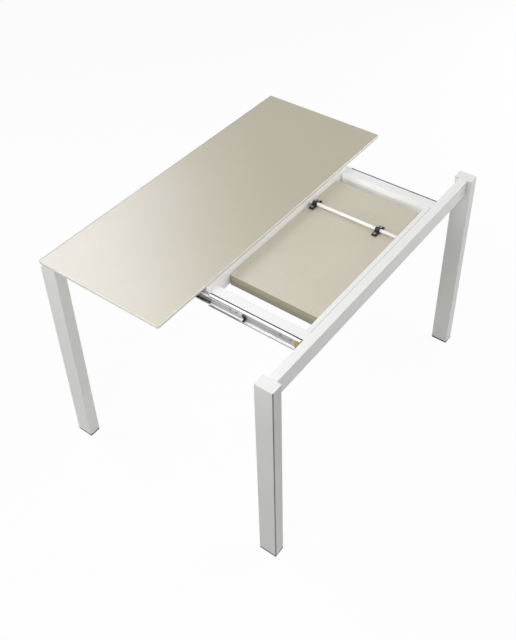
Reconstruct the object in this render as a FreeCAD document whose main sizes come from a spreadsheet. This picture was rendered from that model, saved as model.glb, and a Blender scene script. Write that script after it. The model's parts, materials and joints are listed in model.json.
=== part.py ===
"""Extending kitchen table with a leaf that swivels out of a well, in millimetres.

The table stands on the floor at Z = 0, with X along the pull and Y along the long side. The origin is under
the middle of the table as it stands pulled out, with the folded leaf lying in the well between the beams.
"""
import FreeCAD
import Part
import Sketcher
import os
import re

# Driving dimensions, each written once.
SIZES = {
    # Glass top and how it sits on the frame
    "glass_length": 1100.0,
    "glass_width": 448.0,
    "glass_thickness": 10.0,
    "glass_corner_radius": 6.0,
    "glass_arris": 1.2,
    "glass_gap": 9.0,
    "glass_side_overhang": 3.0,
    "glass_end_inset": 1.0,
    "pad_radius": 11.0,
    "pad_inset": 70.0,
    "extension_travel": 362.0,
    "frame_height": 725.0,
    # Legs and feet
    "leg_width": 58.0,
    "leg_depth": 38.0,
    "leg_wall": 2.0,
    "leg_top_plate": 3.0,
    "leg_edge_radius": 2.0,
    "cap_flange": 2.0,
    "cap_plug_length": 24.0,
    "cap_clearance": 0.2,
    "glide_radius": 13.0,
    "glide_pad_height": 3.0,
    "glide_gap": 0.3,
    "stem_radius": 4.0,
    "stem_length": 40.0,
    "stem_clearance": 0.1,
    # Beams
    "end_beam_width": 28.0,
    "end_beam_height": 56.0,
    "end_beam_inset": 14.0,
    "beam_wall": 2.0,
    "inner_beam_width": 26.0,
    "side_beam_width": 33.0,
    "well_beam_width": 15.0,
    "well_beam_drop": 1.0,
    "well_height": 49.0,
    "well_glass_gap": 1.0,
    "rail_width": 25.0,
    "rail_height": 40.0,
    "rail_end_gap": 3.0,
    "plug_flange": 1.5,
    "plug_depth": 14.0,
    "plug_clearance": 0.2,
    # Telescopic slides
    "slide_height": 38.0,
    "slide_depth": 12.0,
    "slide_sheet": 1.2,
    "slide_lip": 3.6,
    "slide_drop": 1.0,
    "slide_rail_gap": 1.0,
    "packing_thickness": 2.0,
    "packing_drop": 0.6,
    "moving_start_inset": 15.0,
    "moving_end_gap": 3.0,
    "outer_stage_travel": 163.0,
    "intermediate_length": 330.0,
    "intermediate_setback": 1.6,
    "fixed_start_gap": 3.0,
    "layer_gap": 0.4,
    "stop_thickness": 3.0,
    "stop_jog": 6.0,
    "stop_depth": 1.0,
    "bumper_length": 18.0,
    "bumper_height": 32.0,
    "bumper_depth": 8.0,
    "bumper_radius": 3.0,
    "bumper_gap": 1.0,
    "access_hole_radius": 3.0,
    "access_hole_inset": 24.0,
    "access_hole_pitch": 23.0,
    # Ball cages
    "ball_diameter": 3.6,
    "ball_clearance": 0.3,
    "ball_inset": 10.0,
    "cage_sheet": 0.8,
    "cage_setback": 1.8,
    "outer_cage_length": 100.0,
    "outer_cage_start_gap": 6.0,
    "outer_ball_depth": 6.4,
    "outer_ball_count": 5,
    "inner_cage_length": 190.0,
    "inner_cage_end_gap": 114.0,
    "inner_ball_depth": 7.6,
    "inner_ball_count": 7,
    # Fasteners
    "screw_radius": 1.9,
    "screw_clearance": 0.1,
    "flush_head_radius": 3.4,
    "pan_head_radius": 3.8,
    "pan_head_height": 2.0,
    "slide_screw_length": 14.0,
    "slide_screw_inset": 34.0,
    "slide_screw_pitch": 34.0,
    "rail_screw_length": 9.0,
    "rail_screw_inset": 30.0,
    "bolt_radius": 3.0,
    "bolt_head_radius": 5.0,
    "bolt_head_height": 4.0,
    "bolt_length": 14.0,
    "bolt_inset": 83.0,
    # Leaf, rod and clips
    "panel_thickness": 18.0,
    "leaf_clearance": 1.5,
    "leaf_landing_gap": 0.5,
    "leaf_hand_gap": 67.0,
    "leaf_back_gap": 29.0,
    "rod_radius": 5.0,
    "rod_rise": 8.0,
    "rod_seat": 10.0,
    "rod_seat_clearance": 0.05,
    "clip_width": 16.0,
    "clip_length": 52.0,
    "clip_base": 2.2,
    "clip_wall": 2.4,
    "clip_clearance": 0.1,
    "clip_screw_reach": 18.0,
    "clip_screw_length": 12.0,
    "left_clip_gap": 9.0,
    "right_clip_gap": 57.0,
    "hinge_barrel_radius": 6.0,
    "hinge_barrel_depth": 22.0,
    "hinge_clearance": 0.1,
    "hinge_link_width": 7.0,
    "hinge_link_depth": 5.0,
    "hinge_inset": 42.0,
    "bracket_length": 30.0,
    "bracket_reach": 14.0,
    "bracket_seat": 11.0,
    "bracket_sheet": 2.5,
    "bracket_setback": 30.0,
    "leaf_rest_gap": 0.2,
}

# Places and sizes that follow from the driving dimensions, as formulas of them.
PLACES = {
    "half_reach": "(glass_width + 2 * glass_end_inset + extension_travel) / 2",
    "glass_left": "glass_end_inset - half_reach",
    "glass_right": "glass_left + glass_width",
    "glass_bottom": "frame_height + glass_gap",
    "leg_outer": "glass_length / 2 - glass_side_overhang",
    "leg_inner": "leg_outer - leg_depth",
    "cap_bottom": "glide_pad_height + glide_gap",
    "leg_bottom": "cap_bottom + cap_flange",
    "left_beam_face": "end_beam_inset + end_beam_width - half_reach",
    "end_beam_face": "half_reach - end_beam_inset - end_beam_width",
    "well_left": "glass_right + well_glass_gap",
    "well_right": "end_beam_face - well_beam_width",
    "well_bottom": "frame_height - well_height",
    "rod_offset": "(leaf_length + leaf_hand_gap - leaf_back_gap) / 4",
    "well_half_length": "leaf_back + leaf_back_gap",
    "side_beam_outer": "well_half_length + side_beam_width",
    "slide_face": "side_beam_outer + packing_thickness",
    "slide_top": "frame_height - slide_drop",
    "slide_bottom": "slide_top - slide_height",
    "slide_middle": "slide_top - slide_height / 2",
    "rail_face": "slide_face + slide_depth + slide_rail_gap",
    "rail_end": "end_beam_face - extension_travel - rail_end_gap",
    "rail_middle": "rail_face + rail_width / 2",
    "moving_start": "well_left + moving_start_inset",
    "moving_end": "end_beam_face - moving_end_gap",
    "bumper_start": "moving_end - bumper_length",
    "stop_end": "bumper_start - bumper_gap - outer_stage_travel",
    "intermediate_end": "stop_end - stop_thickness",
    "intermediate_start": "intermediate_end - intermediate_length",
    "fixed_start": "left_beam_face + fixed_start_gap",
    "fixed_end": "bumper_start - extension_travel - bumper_gap",
    "ball_gap": "ball_diameter + 2 * ball_clearance",
    "middle_low": "slide_sheet + ball_gap",
    "middle_high": "slide_height - middle_low",
    "core_low": "middle_low + slide_sheet + ball_gap",
    "core_high": "slide_height - core_low",
    "outer_cage_web": "slide_sheet + layer_gap",
    "middle_web": "outer_cage_web + cage_sheet + layer_gap",
    "middle_tip": "slide_depth - intermediate_setback",
    "inner_cage_web": "middle_web + slide_sheet + layer_gap",
    "core_tip": "inner_cage_web + cage_sheet + 2 * layer_gap",
    "core_web": "slide_depth + slide_rail_gap",
    "cage_tip": "slide_depth - cage_setback",
    "outer_ball_rise": "slide_sheet + ball_gap / 2",
    "inner_ball_rise": "middle_low + slide_sheet + ball_gap / 2",
    "outer_cage_start": "moving_start + outer_cage_start_gap",
    "inner_cage_start": "intermediate_end - inner_cage_end_gap - inner_cage_length",
    "hole_radius": "screw_radius + screw_clearance",
    "rod_height": "frame_height + leaf_landing_gap - rod_rise",
    "leaf_length": "glass_length / 2",
    "leaf_back": "2 * rod_offset",
    "leaf_front": "leaf_back - leaf_length",
    "leaf_left": "well_left + leaf_clearance",
    "leaf_width": "well_right - leaf_clearance - leaf_left",
    "leaf_top": "rod_height - rod_rise",
    "leaf_middle": "leaf_top - panel_thickness",
    "leaf_bottom": "leaf_middle - panel_thickness",
    "clip_bore": "rod_radius + clip_clearance",
    "clip_round": "clip_bore + clip_wall",
    "left_clip_start": "well_left + left_clip_gap",
    "right_clip_start": "well_right - right_clip_gap - clip_width",
    "bracket_top": "leaf_bottom - leaf_rest_gap",
    "bracket_middle": "leaf_front + bracket_setback",
    "bracket_rise": "well_bottom - bracket_top",
    "bracket_depth": "bracket_sheet + bracket_rise",
}

SIDES = {"front": -1, "back": 1}
BOLT_SPOTS = ("bolt_inset - well_half_length", "0", "well_half_length - bolt_inset")
CLIP_STARTS = {"left": "left_clip_start", "right": "right_clip_start"}
REST_SPOTS = ("bracket_middle - bracket_length / 4", "bracket_middle + bracket_length / 4")
ENDS = {"left": -1, "right": 1}
PLANES = {"X": "YZ_Plane", "Y": "XZ_Plane", "Z": "XY_Plane"}
TURNS = {
    "X": FreeCAD.Rotation(FreeCAD.Vector(0, 1, 0), 90),
    "Y": FreeCAD.Rotation(FreeCAD.Vector(1, 0, 0), -90),
    "Z": FreeCAD.Rotation(),
}
NAME = re.compile(r"[a-z][a-z_]*[a-z]")
SMALLEST_CUT = 0.001

doc = FreeCAD.newDocument("Table")
sheet = doc.addObject("Spreadsheet::Sheet", "Sizes")
for row, (alias, size) in enumerate(SIZES.items(), start=1):
    sheet.set(f"A{row}", alias)
    sheet.set(f"B{row}", str(size))
    sheet.setAlias(f"B{row}", alias)
doc.recompute()

nodes = []


def formula(text):
    """Writes a formula of sizes and places as an expression on the sheet's cells."""

    def cell(match):
        name = match.group()
        return f"({formula(PLACES[name])})" if name in PLACES else f"Sizes.{name}"

    return NAME.sub(cell, str(text))


def value(text):
    """The number that a formula gives now."""
    return float(sheet.evalExpression(formula(text)))


def bind(item, **formulas):
    """Ties properties of an object to formulas."""
    for name, text in formulas.items():
        item.setExpression(name, formula(text))


def put(item, place):
    """Ties an object's place to three formulas."""
    for axis, text in zip("xyz", place):
        item.setExpression(f"Placement.Base.{axis}", formula(text))


def node(item):
    """Marks a finished sub-part, which is written to a file of its label."""
    nodes.append(item)
    return item


def sketch_on(body, along, label):
    """A sketch on the body's own plane across the given axis."""
    sketch = body.newObject("Sketcher::SketchObject", label)
    plane = next(item for item in body.Origin.OriginFeatures if item.Role == PLANES[along])
    sketch.AttachmentSupport = [(plane, "")]
    sketch.MapMode = "FlatFace"
    return sketch


def pin_point(sketch, geometry, point, place):
    """Ties a point of a sketch to two formulas, measured from the sketch's origin."""
    axes = (("DistanceX", place[0], -2), ("DistanceY", place[1], -1))
    for kind, text, axis in axes:
        if text == "0":
            sketch.addConstraint(Sketcher.Constraint("PointOnObject", geometry, point, axis))
            continue
        tie = Sketcher.Constraint(kind, -1, 1, geometry, point, value(text))
        index = sketch.addConstraint(tie)
        sketch.setExpression(f"Constraints[{index}]", formula(text))


def draw_outline(sketch, outline):
    """Draws a closed outline of straight lines through points given as formulas."""
    corners = [FreeCAD.Vector(value(u), value(v), 0) for u, v in outline]
    first = sketch.GeometryCount
    count = len(outline)
    for index, corner in enumerate(corners):
        sketch.addGeometry(Part.LineSegment(corner, corners[(index + 1) % count]))
    for index in range(count):
        following = first + (index + 1) % count
        sketch.addConstraint(Sketcher.Constraint("Coincident", first + index, 2, following, 1))
    for index, place in enumerate(outline):
        pin_point(sketch, first + index, 1, place)


def draw_circle(sketch, place, radius):
    """Draws a circle whose centre and radius are formulas."""
    centre = FreeCAD.Vector(value(place[0]), value(place[1]), 0)
    ring = Part.Circle(centre, FreeCAD.Vector(0, 0, 1), value(radius))
    index = sketch.addGeometry(ring)
    pin_point(sketch, index, 3, place)
    tie = sketch.addConstraint(Sketcher.Constraint("Radius", index, value(radius)))
    sketch.setExpression(f"Constraints[{tie}]", formula(radius))


def rectangle(low, high):
    """The outline of a rectangle between two corners."""
    return [low, (high[0], low[1]), high, (low[0], high[1])]


def extrusion(label, along, outlines, length, place, backwards=False):
    """A body that runs along an axis with a section of closed outlines."""
    body = doc.addObject("PartDesign::Body", label)
    sketch = sketch_on(body, along, f"{label}_section")
    for outline in outlines:
        draw_outline(sketch, outline)
    pad = body.newObject("PartDesign::Pad", f"{label}_pad")
    pad.Profile = sketch
    pad.Reversed = (along == "Y") != backwards
    bind(pad, Length=length)
    put(body, place)
    doc.recompute()
    return body


def pocket(body, label, sketch, length, upwards):
    """Cuts the outlines of a sketch out of a body, up or down the sketch's normal."""
    before = body.Tip.Shape.Volume
    feature = body.newObject("PartDesign::Pocket", label)
    feature.Profile = sketch
    feature.Reversed = upwards
    bind(feature, Length=length)
    body.Tip = feature
    doc.recompute()
    if feature.Shape.Volume > before - SMALLEST_CUT:
        raise RuntimeError(f"{label} cuts nothing")
    return feature


def drill(body, label, along, holes, depth, upwards=True, start="0"):
    """Drills round holes into a body, the given way along the axis from a start on it.

    holes are pairs of a centre and a radius. A plane across Y has its normal the other way round.
    """
    sketch = sketch_on(body, along, f"{label}_centres")
    turned = along == "Y"
    bind(sketch, **{"AttachmentOffset.Base.z": f"-({start})" if turned else start})
    for place, radius in holes:
        draw_circle(sketch, place, radius)
    return pocket(body, label, sketch, depth, turned != upwards)


def edges_of(shape, test):
    """Names of the edges whose two ends pass a test."""
    names = []
    for index, edge in enumerate(shape.Edges, start=1):
        ends = [vertex.Point for vertex in edge.Vertexes]
        if len(ends) == 2 and test(ends[0], ends[1]):
            names.append(f"Edge{index}")
    return names


def soften(body, label, kind, test, **sizes):
    """Rounds or bevels the edges of a body that pass a test."""
    base = body.Tip
    feature = body.newObject(f"PartDesign::{kind}", label)
    feature.Base = (base, edges_of(base.Shape, test))
    bind(feature, **sizes)
    body.Tip = feature
    doc.recompute()
    return feature


def upright(a, b):
    """True for an edge that runs along Z."""
    return abs(a.x - b.x) < 1e-6 and abs(a.y - b.y) < 1e-6


def at_start(a, b):
    """True for an edge across the body's own start."""
    return abs(a.x) < 1e-6 and abs(b.x) < 1e-6


def level(a, b):
    """True for an edge at one height."""
    return abs(a.z - b.z) < 1e-6


def block(label, low, size):
    """A box from its low corner and its three sides."""
    item = doc.addObject("Part::Box", label)
    bind(item, Length=size[0], Width=size[1], Height=size[2])
    put(item, low)
    return item


def round_bar(label, along, start, radius, length):
    """A cylinder along an axis, from the middle of its first end."""
    item = doc.addObject("Part::Cylinder", label)
    item.Placement = FreeCAD.Placement(FreeCAD.Vector(), TURNS[along])
    bind(item, Radius=radius, Height=length)
    put(item, start)
    return item


def group(label, items):
    """Like pieces kept together as separate solids."""
    item = doc.addObject("Part::Compound", label)
    item.Links = items
    return item


def fuse(label, items):
    """One solid of several."""
    item = doc.addObject("Part::MultiFuse", label)
    item.Shapes = items
    item.Refine = True
    return item


def cut(label, base, tools):
    """A solid with the tools taken out of it."""
    item = doc.addObject("Part::Cut", label)
    item.Base = base
    item.Tool = tools[0] if len(tools) == 1 else fuse(f"{label}_tools", tools)
    item.Refine = True
    return item


def headed_screw(label, along, seat, shank, head, inwards):
    """A screw: a shank one way from its seat and a head the other way.

    shank and head are (radius, length), and inwards is 1 where the shank runs up the axis.
    """
    axis = "XYZ".index(along)
    shank_start = list(seat)
    head_start = list(seat)
    if inwards > 0:
        head_start[axis] = f"{seat[axis]} - ({head[1]})"
    else:
        shank_start[axis] = f"{seat[axis]} - ({shank[1]})"
    pin = round_bar(f"{label}_shank", along, shank_start, shank[0], shank[1])
    cap = round_bar(f"{label}_head", along, head_start, head[0], head[1])
    return fuse(label, [pin, cap])


def build_glass():
    """The glass top and the pads that it lies on."""
    corner = ("0", "-glass_length / 2")
    far = ("glass_width", "glass_length / 2")
    place = ("glass_left", "0", "glass_bottom")
    glass = extrusion("tabletop_glass", "Z", [rectangle(corner, far)], "glass_thickness", place)
    soften(glass, "glass_corners", "Fillet", upright, Radius="glass_corner_radius")
    soften(glass, "glass_edge", "Chamfer", level, Size="glass_arris")
    node(glass)

    pads = []
    beam_middle = "end_beam_inset + end_beam_width / 2 - half_reach"
    for index, y in enumerate(("pad_inset - leg_inner", "0", "leg_inner - pad_inset")):
        spot = (beam_middle, y, "frame_height")
        pads.append(round_bar(f"beam_pad_{index}", "Z", spot, "pad_radius", "glass_gap"))
    for side, sign in SIDES.items():
        for end, x in (("near", "left_beam_face + pad_inset"), ("far", "rail_end - pad_inset")):
            spot = (x, f"{sign} * rail_middle", "frame_height")
            pads.append(round_bar(f"{side}_{end}_pad", "Z", spot, "pad_radius", "glass_gap"))
    node(group("glass_pads", pads))


def build_leg(end, side):
    """One leg with its closed top, its end cap and its levelling glide."""
    name = f"{end}_{side}"
    x_sign = ENDS[end]
    y_sign = SIDES[side]
    x_middle = f"{x_sign} * (half_reach - leg_width / 2)"
    y_middle = f"{y_sign} * (leg_outer - leg_depth / 2)"

    outside = rectangle(("-leg_width / 2", "-leg_depth / 2"), ("leg_width / 2", "leg_depth / 2"))
    place = (x_middle, y_middle, "leg_bottom")
    leg = extrusion(f"{name}_leg", "Z", [outside], "frame_height - leg_bottom", place)
    soften(leg, f"{name}_leg_edges", "Fillet", upright, Radius="leg_edge_radius")
    hollow = rectangle(
        ("leg_wall - leg_width / 2", "leg_wall - leg_depth / 2"),
        ("leg_width / 2 - leg_wall", "leg_depth / 2 - leg_wall"),
    )
    sketch = sketch_on(leg, "Z", f"{name}_leg_hollow")
    draw_outline(sketch, hollow)
    pocket(leg, f"{name}_leg_bore", sketch, "frame_height - leg_bottom - leg_top_plate", True)
    node(leg)

    plug_x = "leg_width - 2 * leg_wall - 2 * cap_clearance"
    plug_y = "leg_depth - 2 * leg_wall - 2 * cap_clearance"
    place = (x_middle, y_middle, "cap_bottom")
    cap = extrusion(f"{name}_leg_cap", "Z", [outside], "cap_flange", place)
    soften(cap, f"{name}_cap_edges", "Fillet", upright, Radius="leg_edge_radius")
    plug_sketch = sketch_on(cap, "Z", f"{name}_cap_plug_section")
    low = (f"-({plug_x}) / 2", f"-({plug_y}) / 2")
    high = (f"({plug_x}) / 2", f"({plug_y}) / 2")
    draw_outline(plug_sketch, rectangle(low, high))
    plug = cap.newObject("PartDesign::Pad", f"{name}_cap_plug")
    plug.Profile = plug_sketch
    bind(plug, Length="cap_flange + cap_plug_length")
    cap.Tip = plug
    doc.recompute()
    thread = [(("0", "0"), "stem_radius + stem_clearance")]
    drill(cap, f"{name}_cap_thread", "Z", thread, "cap_flange + cap_plug_length")
    node(cap)

    foot = (x_middle, y_middle, "0")
    pad = round_bar(f"{name}_glide_pad", "Z", foot, "glide_radius", "glide_pad_height")
    stem = round_bar(f"{name}_glide_stem", "Z", foot, "stem_radius", "stem_length")
    node(fuse(f"{name}_glide", [pad, stem]))


def tube(label, along, low, high, length, place, backwards=False):
    """A rectangular tube with the beams' wall."""
    outer = rectangle(low, high)
    hollow = rectangle(
        (f"{low[0]} + beam_wall", f"{low[1]} + beam_wall"),
        (f"{high[0]} - beam_wall", f"{high[1]} - beam_wall"),
    )
    return extrusion(label, along, [outer, hollow], length, place, backwards)


def tube_plug(label, along, end, outwards, low, size):
    """A plug in a tube's open end: a flange over the walls and a core between them.

    end is the tube's end on the axis, outwards is 1 where that end faces up the axis, and low and size give
    the tube's section on the other two axes.
    """
    rim = "(beam_wall + plug_clearance)"
    flange_start = end if outwards > 0 else f"{end} - plug_flange"
    core_start = f"{end} - plug_depth" if outwards > 0 else end
    core_low = [f"{text} + {rim}" for text in low]
    core_size = [f"{text} - 2 * {rim}" for text in size]
    pieces = []
    for name, start, length, corner, sides in (
        ("flange", flange_start, "plug_flange", low, size),
        ("core", core_start, "plug_depth", core_low, core_size),
    ):
        corner = list(corner)
        sides = list(sides)
        corner.insert("XYZ".index(along), start)
        sides.insert("XYZ".index(along), length)
        pieces.append(block(f"{label}_{name}", corner, sides))
    return fuse(label, pieces)


def build_plugs():
    """The plugs in the open ends of the inner beam and of the fixed rails."""
    beam_plugs = []
    rail_plugs = []
    for side, sign in SIDES.items():
        low = ("well_left - inner_beam_width", "well_bottom")
        size = ("inner_beam_width", "well_height")
        end = f"{sign} * side_beam_outer"
        beam_plugs.append(tube_plug(f"{side}_beam_plug", "Y", end, sign, low, size))
        start = "-rail_face - rail_width" if sign < 0 else "rail_face"
        low = (start, "frame_height - rail_height")
        size = ("rail_width", "rail_height")
        rail_plugs.append(tube_plug(f"{side}_rail_plug", "X", "rail_end", 1, low, size))
    node(group("inner_beam_plugs", beam_plugs))
    node(group("rail_plugs", rail_plugs))


def build_beams():
    """The two end beams, the well's beams and the fixed rails."""
    length = "2 * leg_inner"
    low = ("0", "-end_beam_height")
    high = ("end_beam_width", "0")
    place = ("end_beam_inset - half_reach", "-leg_inner", "frame_height")
    node(tube("left_end_beam", "Y", low, high, length, place))
    place = ("end_beam_face", "-leg_inner", "frame_height")
    end_beam = tube("right_end_beam", "Y", low, high, length, place)
    bolt_hole = "bolt_radius + screw_clearance"
    holes = [((f"leg_inner + {y}", "-well_height / 2"), bolt_hole) for y in BOLT_SPOTS]
    drill(end_beam, "end_beam_bolt_holes", "X", holes, "2 * beam_wall")
    node(end_beam)

    rod_hole = "rod_radius + rod_seat_clearance"
    place = ("well_right", "-well_half_length", "frame_height - well_beam_drop")
    low = ("0", "well_beam_drop - well_height")
    high = ("well_beam_width", "0")
    well_beam = tube("right_well_beam", "Y", low, high, "2 * well_half_length", place)
    rod_spot = ("well_half_length + rod_offset", "rod_height + well_beam_drop - frame_height")
    drill(well_beam, "well_beam_rod_seat", "X", [(rod_spot, rod_hole)], "beam_wall")
    bolt_spots = [(f"well_half_length + {y}", "well_beam_drop - well_height / 2") for y in BOLT_SPOTS]
    openings = [(spot, "bolt_head_radius + screw_clearance") for spot in bolt_spots]
    drill(well_beam, "well_beam_openings", "X", openings, "2 * beam_wall")
    through = [(spot, bolt_hole) for spot in bolt_spots]
    drill(well_beam, "well_beam_bolt_holes", "X", through, "well_beam_width")
    rests = [(("bracket_seat / 2", f"well_half_length + {y}"), "hole_radius") for y in REST_SPOTS]
    bottom = "well_beam_drop - well_height"
    drill(well_beam, "well_beam_rest_holes", "Z", rests, "beam_wall", start=bottom)
    node(well_beam)

    place = ("well_left", "-well_half_length - side_beam_width", "frame_height")
    low = ("-inner_beam_width", "-well_height")
    inner = tube("inner_long_beam", "Y", low, ("0", "0"), "2 * side_beam_outer", place)
    rod_spot = ("side_beam_outer + rod_offset", "rod_height - frame_height")
    drill(inner, "inner_beam_rod_seat", "X", [(rod_spot, rod_hole)], "rod_seat", upwards=False)
    rests = [(("-bracket_seat / 2", f"side_beam_outer + {y}"), "hole_radius") for y in REST_SPOTS]
    drill(inner, "inner_beam_rest_holes", "Z", rests, "beam_wall", start="-well_height")
    node(inner)

    for side, sign in SIDES.items():
        start = "-side_beam_outer" if sign < 0 else "well_half_length"
        low = (start, "well_bottom")
        high = (f"{start} + side_beam_width", "frame_height")
        reach = "end_beam_face - well_left"
        beam = tube(f"{side}_side_beam", "X", low, high, reach, ("well_left", "0", "0"))
        spots = [f"moving_start + {spot} - well_left" for spot in slide_screw_spots()]
        depth = "-packing_thickness - beam_wall"
        drill_across(beam, f"{side}_beam_holes", spots, "hole_radius", sign, depth, "beam_wall")
        node(beam)

        start = "-rail_face - rail_width" if sign < 0 else "rail_face"
        low = (start, "frame_height - rail_height")
        high = (f"{start} + rail_width", "frame_height")
        reach = "rail_end - left_beam_face"
        rail = tube(f"{side}_fixed_rail", "X", low, high, reach, ("left_beam_face", "0", "0"))
        spots = [f"fixed_start + {spot} - left_beam_face" for spot in rail_screw_spots()]
        drill_across(rail, f"{side}_rail_holes", spots, "hole_radius", sign, "core_web", "beam_wall")
        node(rail)

    bolts = []
    for index, y in enumerate(BOLT_SPOTS):
        seat = ("end_beam_face - beam_wall", y, "frame_height - well_height / 2")
        shank = ("bolt_radius", "bolt_length")
        head = ("bolt_head_radius", "bolt_head_height")
        bolts.append(headed_screw(f"well_beam_bolt_{index}", "X", seat, shank, head, 1))
    node(group("well_beam_bolts", bolts))


def section(sign, points):
    """Turns points of depth and rise on a slide into places across the table and above the floor."""
    return [(f"{sign} * (slide_face + {depth})", f"slide_bottom + {rise}") for depth, rise in points]


def channel(web, web_inside, tip, low, high, sheet_name):
    """The outline of a channel with its web at one depth and its two lips reaching to another."""
    return [
        (web, low),
        (tip, low),
        (tip, f"{low} + {sheet_name}"),
        (web_inside, f"{low} + {sheet_name}"),
        (web_inside, f"{high} - {sheet_name}"),
        (tip, f"{high} - {sheet_name}"),
        (tip, high),
        (web, high),
    ]


def moving_outline():
    """The widest channel, whose lips turn in at their tips."""
    inside = "slide_depth - slide_sheet"
    return [
        ("0", "0"),
        ("slide_depth", "0"),
        ("slide_depth", "slide_lip"),
        (inside, "slide_lip"),
        (inside, "slide_sheet"),
        ("slide_sheet", "slide_sheet"),
        ("slide_sheet", "slide_height - slide_sheet"),
        (inside, "slide_height - slide_sheet"),
        (inside, "slide_height - slide_lip"),
        ("slide_depth", "slide_height - slide_lip"),
        ("slide_depth", "slide_height"),
        ("0", "slide_height"),
    ]


def slide_screw_spots():
    """How far along the moving member its screws stand, from its start."""
    length = "(moving_end - moving_start)"
    return [
        "slide_screw_inset",
        "slide_screw_inset + slide_screw_pitch",
        f"{length} - slide_screw_inset - slide_screw_pitch",
        f"{length} - slide_screw_inset",
    ]


def rail_screw_spots():
    """How far along the fixed member its screws stand, from its start."""
    length = "(fixed_end - fixed_start)"
    return ["rail_screw_inset", f"{length} / 2", f"{length} - rail_screw_inset"]


def drill_across(body, label, spots, radius, sign, start, depth):
    """Drills a row of holes outwards across the table, at the slide's middle height, from a depth on it."""
    holes = [((spot, "slide_middle"), radius) for spot in spots]
    drill(body, label, "Y", holes, depth, upwards=sign > 0, start=f"{sign} * (slide_face + {start})")


def build_cage(side, stage, web, rise, depth, start, length, count):
    """A bent sheet cage with a row of balls along each of its two flanges."""
    sign = SIDES[side]
    name = f"{side}_{stage}"
    flange_low = f"{rise} - cage_sheet / 2"
    flange_high = f"slide_height - {rise} + cage_sheet / 2"
    outline = channel(web, f"{web} + cage_sheet", "cage_tip", flange_low, flange_high, "cage_sheet")
    cage = extrusion(f"{name}_ball_cage", "X", [section(sign, outline)], length, (start, "0", "0"))
    sketch = sketch_on(cage, "Z", f"{name}_cage_hole_centre")
    centre = ("ball_inset", f"{sign} * (slide_face + {depth})")
    draw_circle(sketch, centre, "ball_diameter / 2 + ball_clearance")
    hole = pocket(cage, f"{name}_cage_hole", sketch, "slide_top", True)
    holes = cage.newObject("PartDesign::LinearPattern", f"{name}_cage_holes")
    holes.Originals = [hole]
    axis = next(item for item in cage.Origin.OriginFeatures if item.Role == "X_Axis")
    holes.Direction = (axis, [""])
    bind(holes, Length=f"{length} - 2 * ball_inset", Occurrences=count)
    cage.Tip = holes
    node(cage)

    balls = []
    total = int(value(count))
    for row, height in (("low", f"slide_bottom + {rise}"), ("high", f"slide_top - ({rise})")):
        for index in range(total):
            ball = doc.addObject("Part::Sphere", f"{name}_{row}_ball_{index}")
            bind(ball, Radius="ball_diameter / 2")
            x = f"{start} + ball_inset + {index} * ({length} - 2 * ball_inset) / ({count} - 1)"
            put(ball, (x, f"{sign} * (slide_face + {depth})", height))
            balls.append(ball)
    node(group(f"{name}_balls", balls))


def build_slide(side):
    """One telescopic slide: its three members, two ball cages, stop, buffer and packing strip."""
    sign = SIDES[side]
    moving_length = "moving_end - moving_start"
    start = "-slide_face" if sign < 0 else "side_beam_outer"
    low = (start, "slide_bottom")
    high = (f"{start} + packing_thickness", "frame_height - packing_drop")
    strip = extrusion(
        f"{side}_slide_packing", "X", [rectangle(low, high)], moving_length, ("moving_start", "0", "0")
    )
    spots = slide_screw_spots()
    under = "-packing_thickness"
    drill_across(strip, f"{side}_packing_holes", spots, "hole_radius", sign, under, "packing_thickness")
    node(strip)

    place = ("moving_start", "0", "0")
    moving = extrusion(
        f"{side}_slide_moving_member", "X", [section(sign, moving_outline())], moving_length, place
    )
    head_hole = "flush_head_radius + screw_clearance"
    drill_across(moving, f"{side}_moving_holes", spots, head_hole, sign, "0", "slide_sheet")
    node(moving)

    inside = "middle_web + slide_sheet"
    outline = channel("middle_web", inside, "middle_tip", "middle_low", "middle_high", "slide_sheet")
    place = ("intermediate_start", "0", "0")
    middle = extrusion(
        f"{side}_slide_intermediate", "X", [section(sign, outline)], "intermediate_length", place
    )
    spots = [
        "intermediate_length - access_hole_inset",
        "intermediate_length - access_hole_inset - access_hole_pitch",
    ]
    label = f"{side}_access_holes"
    drill_across(middle, label, spots, "access_hole_radius", sign, "middle_web", "slide_sheet")
    node(middle)

    inside = "core_web - slide_sheet"
    outline = channel("core_web", inside, "core_tip", "core_low", "core_high", "slide_sheet")
    place = ("fixed_start", "0", "0")
    core = extrusion(
        f"{side}_slide_fixed_member", "X", [section(sign, outline)], "fixed_end - fixed_start", place
    )
    drill_across(core, f"{side}_fixed_holes", rail_screw_spots(), "hole_radius", sign, inside, "slide_sheet")
    node(core)

    build_stop(side)
    build_cage(
        side, "outer", "outer_cage_web", "outer_ball_rise", "outer_ball_depth",
        "outer_cage_start", "outer_cage_length", "outer_ball_count",
    )
    build_cage(
        side, "inner", "inner_cage_web", "inner_ball_rise", "inner_ball_depth",
        "inner_cage_start", "inner_cage_length", "inner_ball_count",
    )

    y_low = "slide_face + slide_sheet" if sign > 0 else "-slide_face - slide_sheet - bumper_depth"
    corner = (y_low, "slide_middle - bumper_height / 2")
    far = (f"{y_low} + bumper_depth", "slide_middle + bumper_height / 2")
    place = ("bumper_start", "0", "0")
    bumper = extrusion(f"{side}_slide_bumper", "X", [rectangle(corner, far)], "bumper_length", place)
    soften(bumper, f"{side}_bumper_nose", "Fillet", at_start, Radius="bumper_radius")
    node(bumper)


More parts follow.
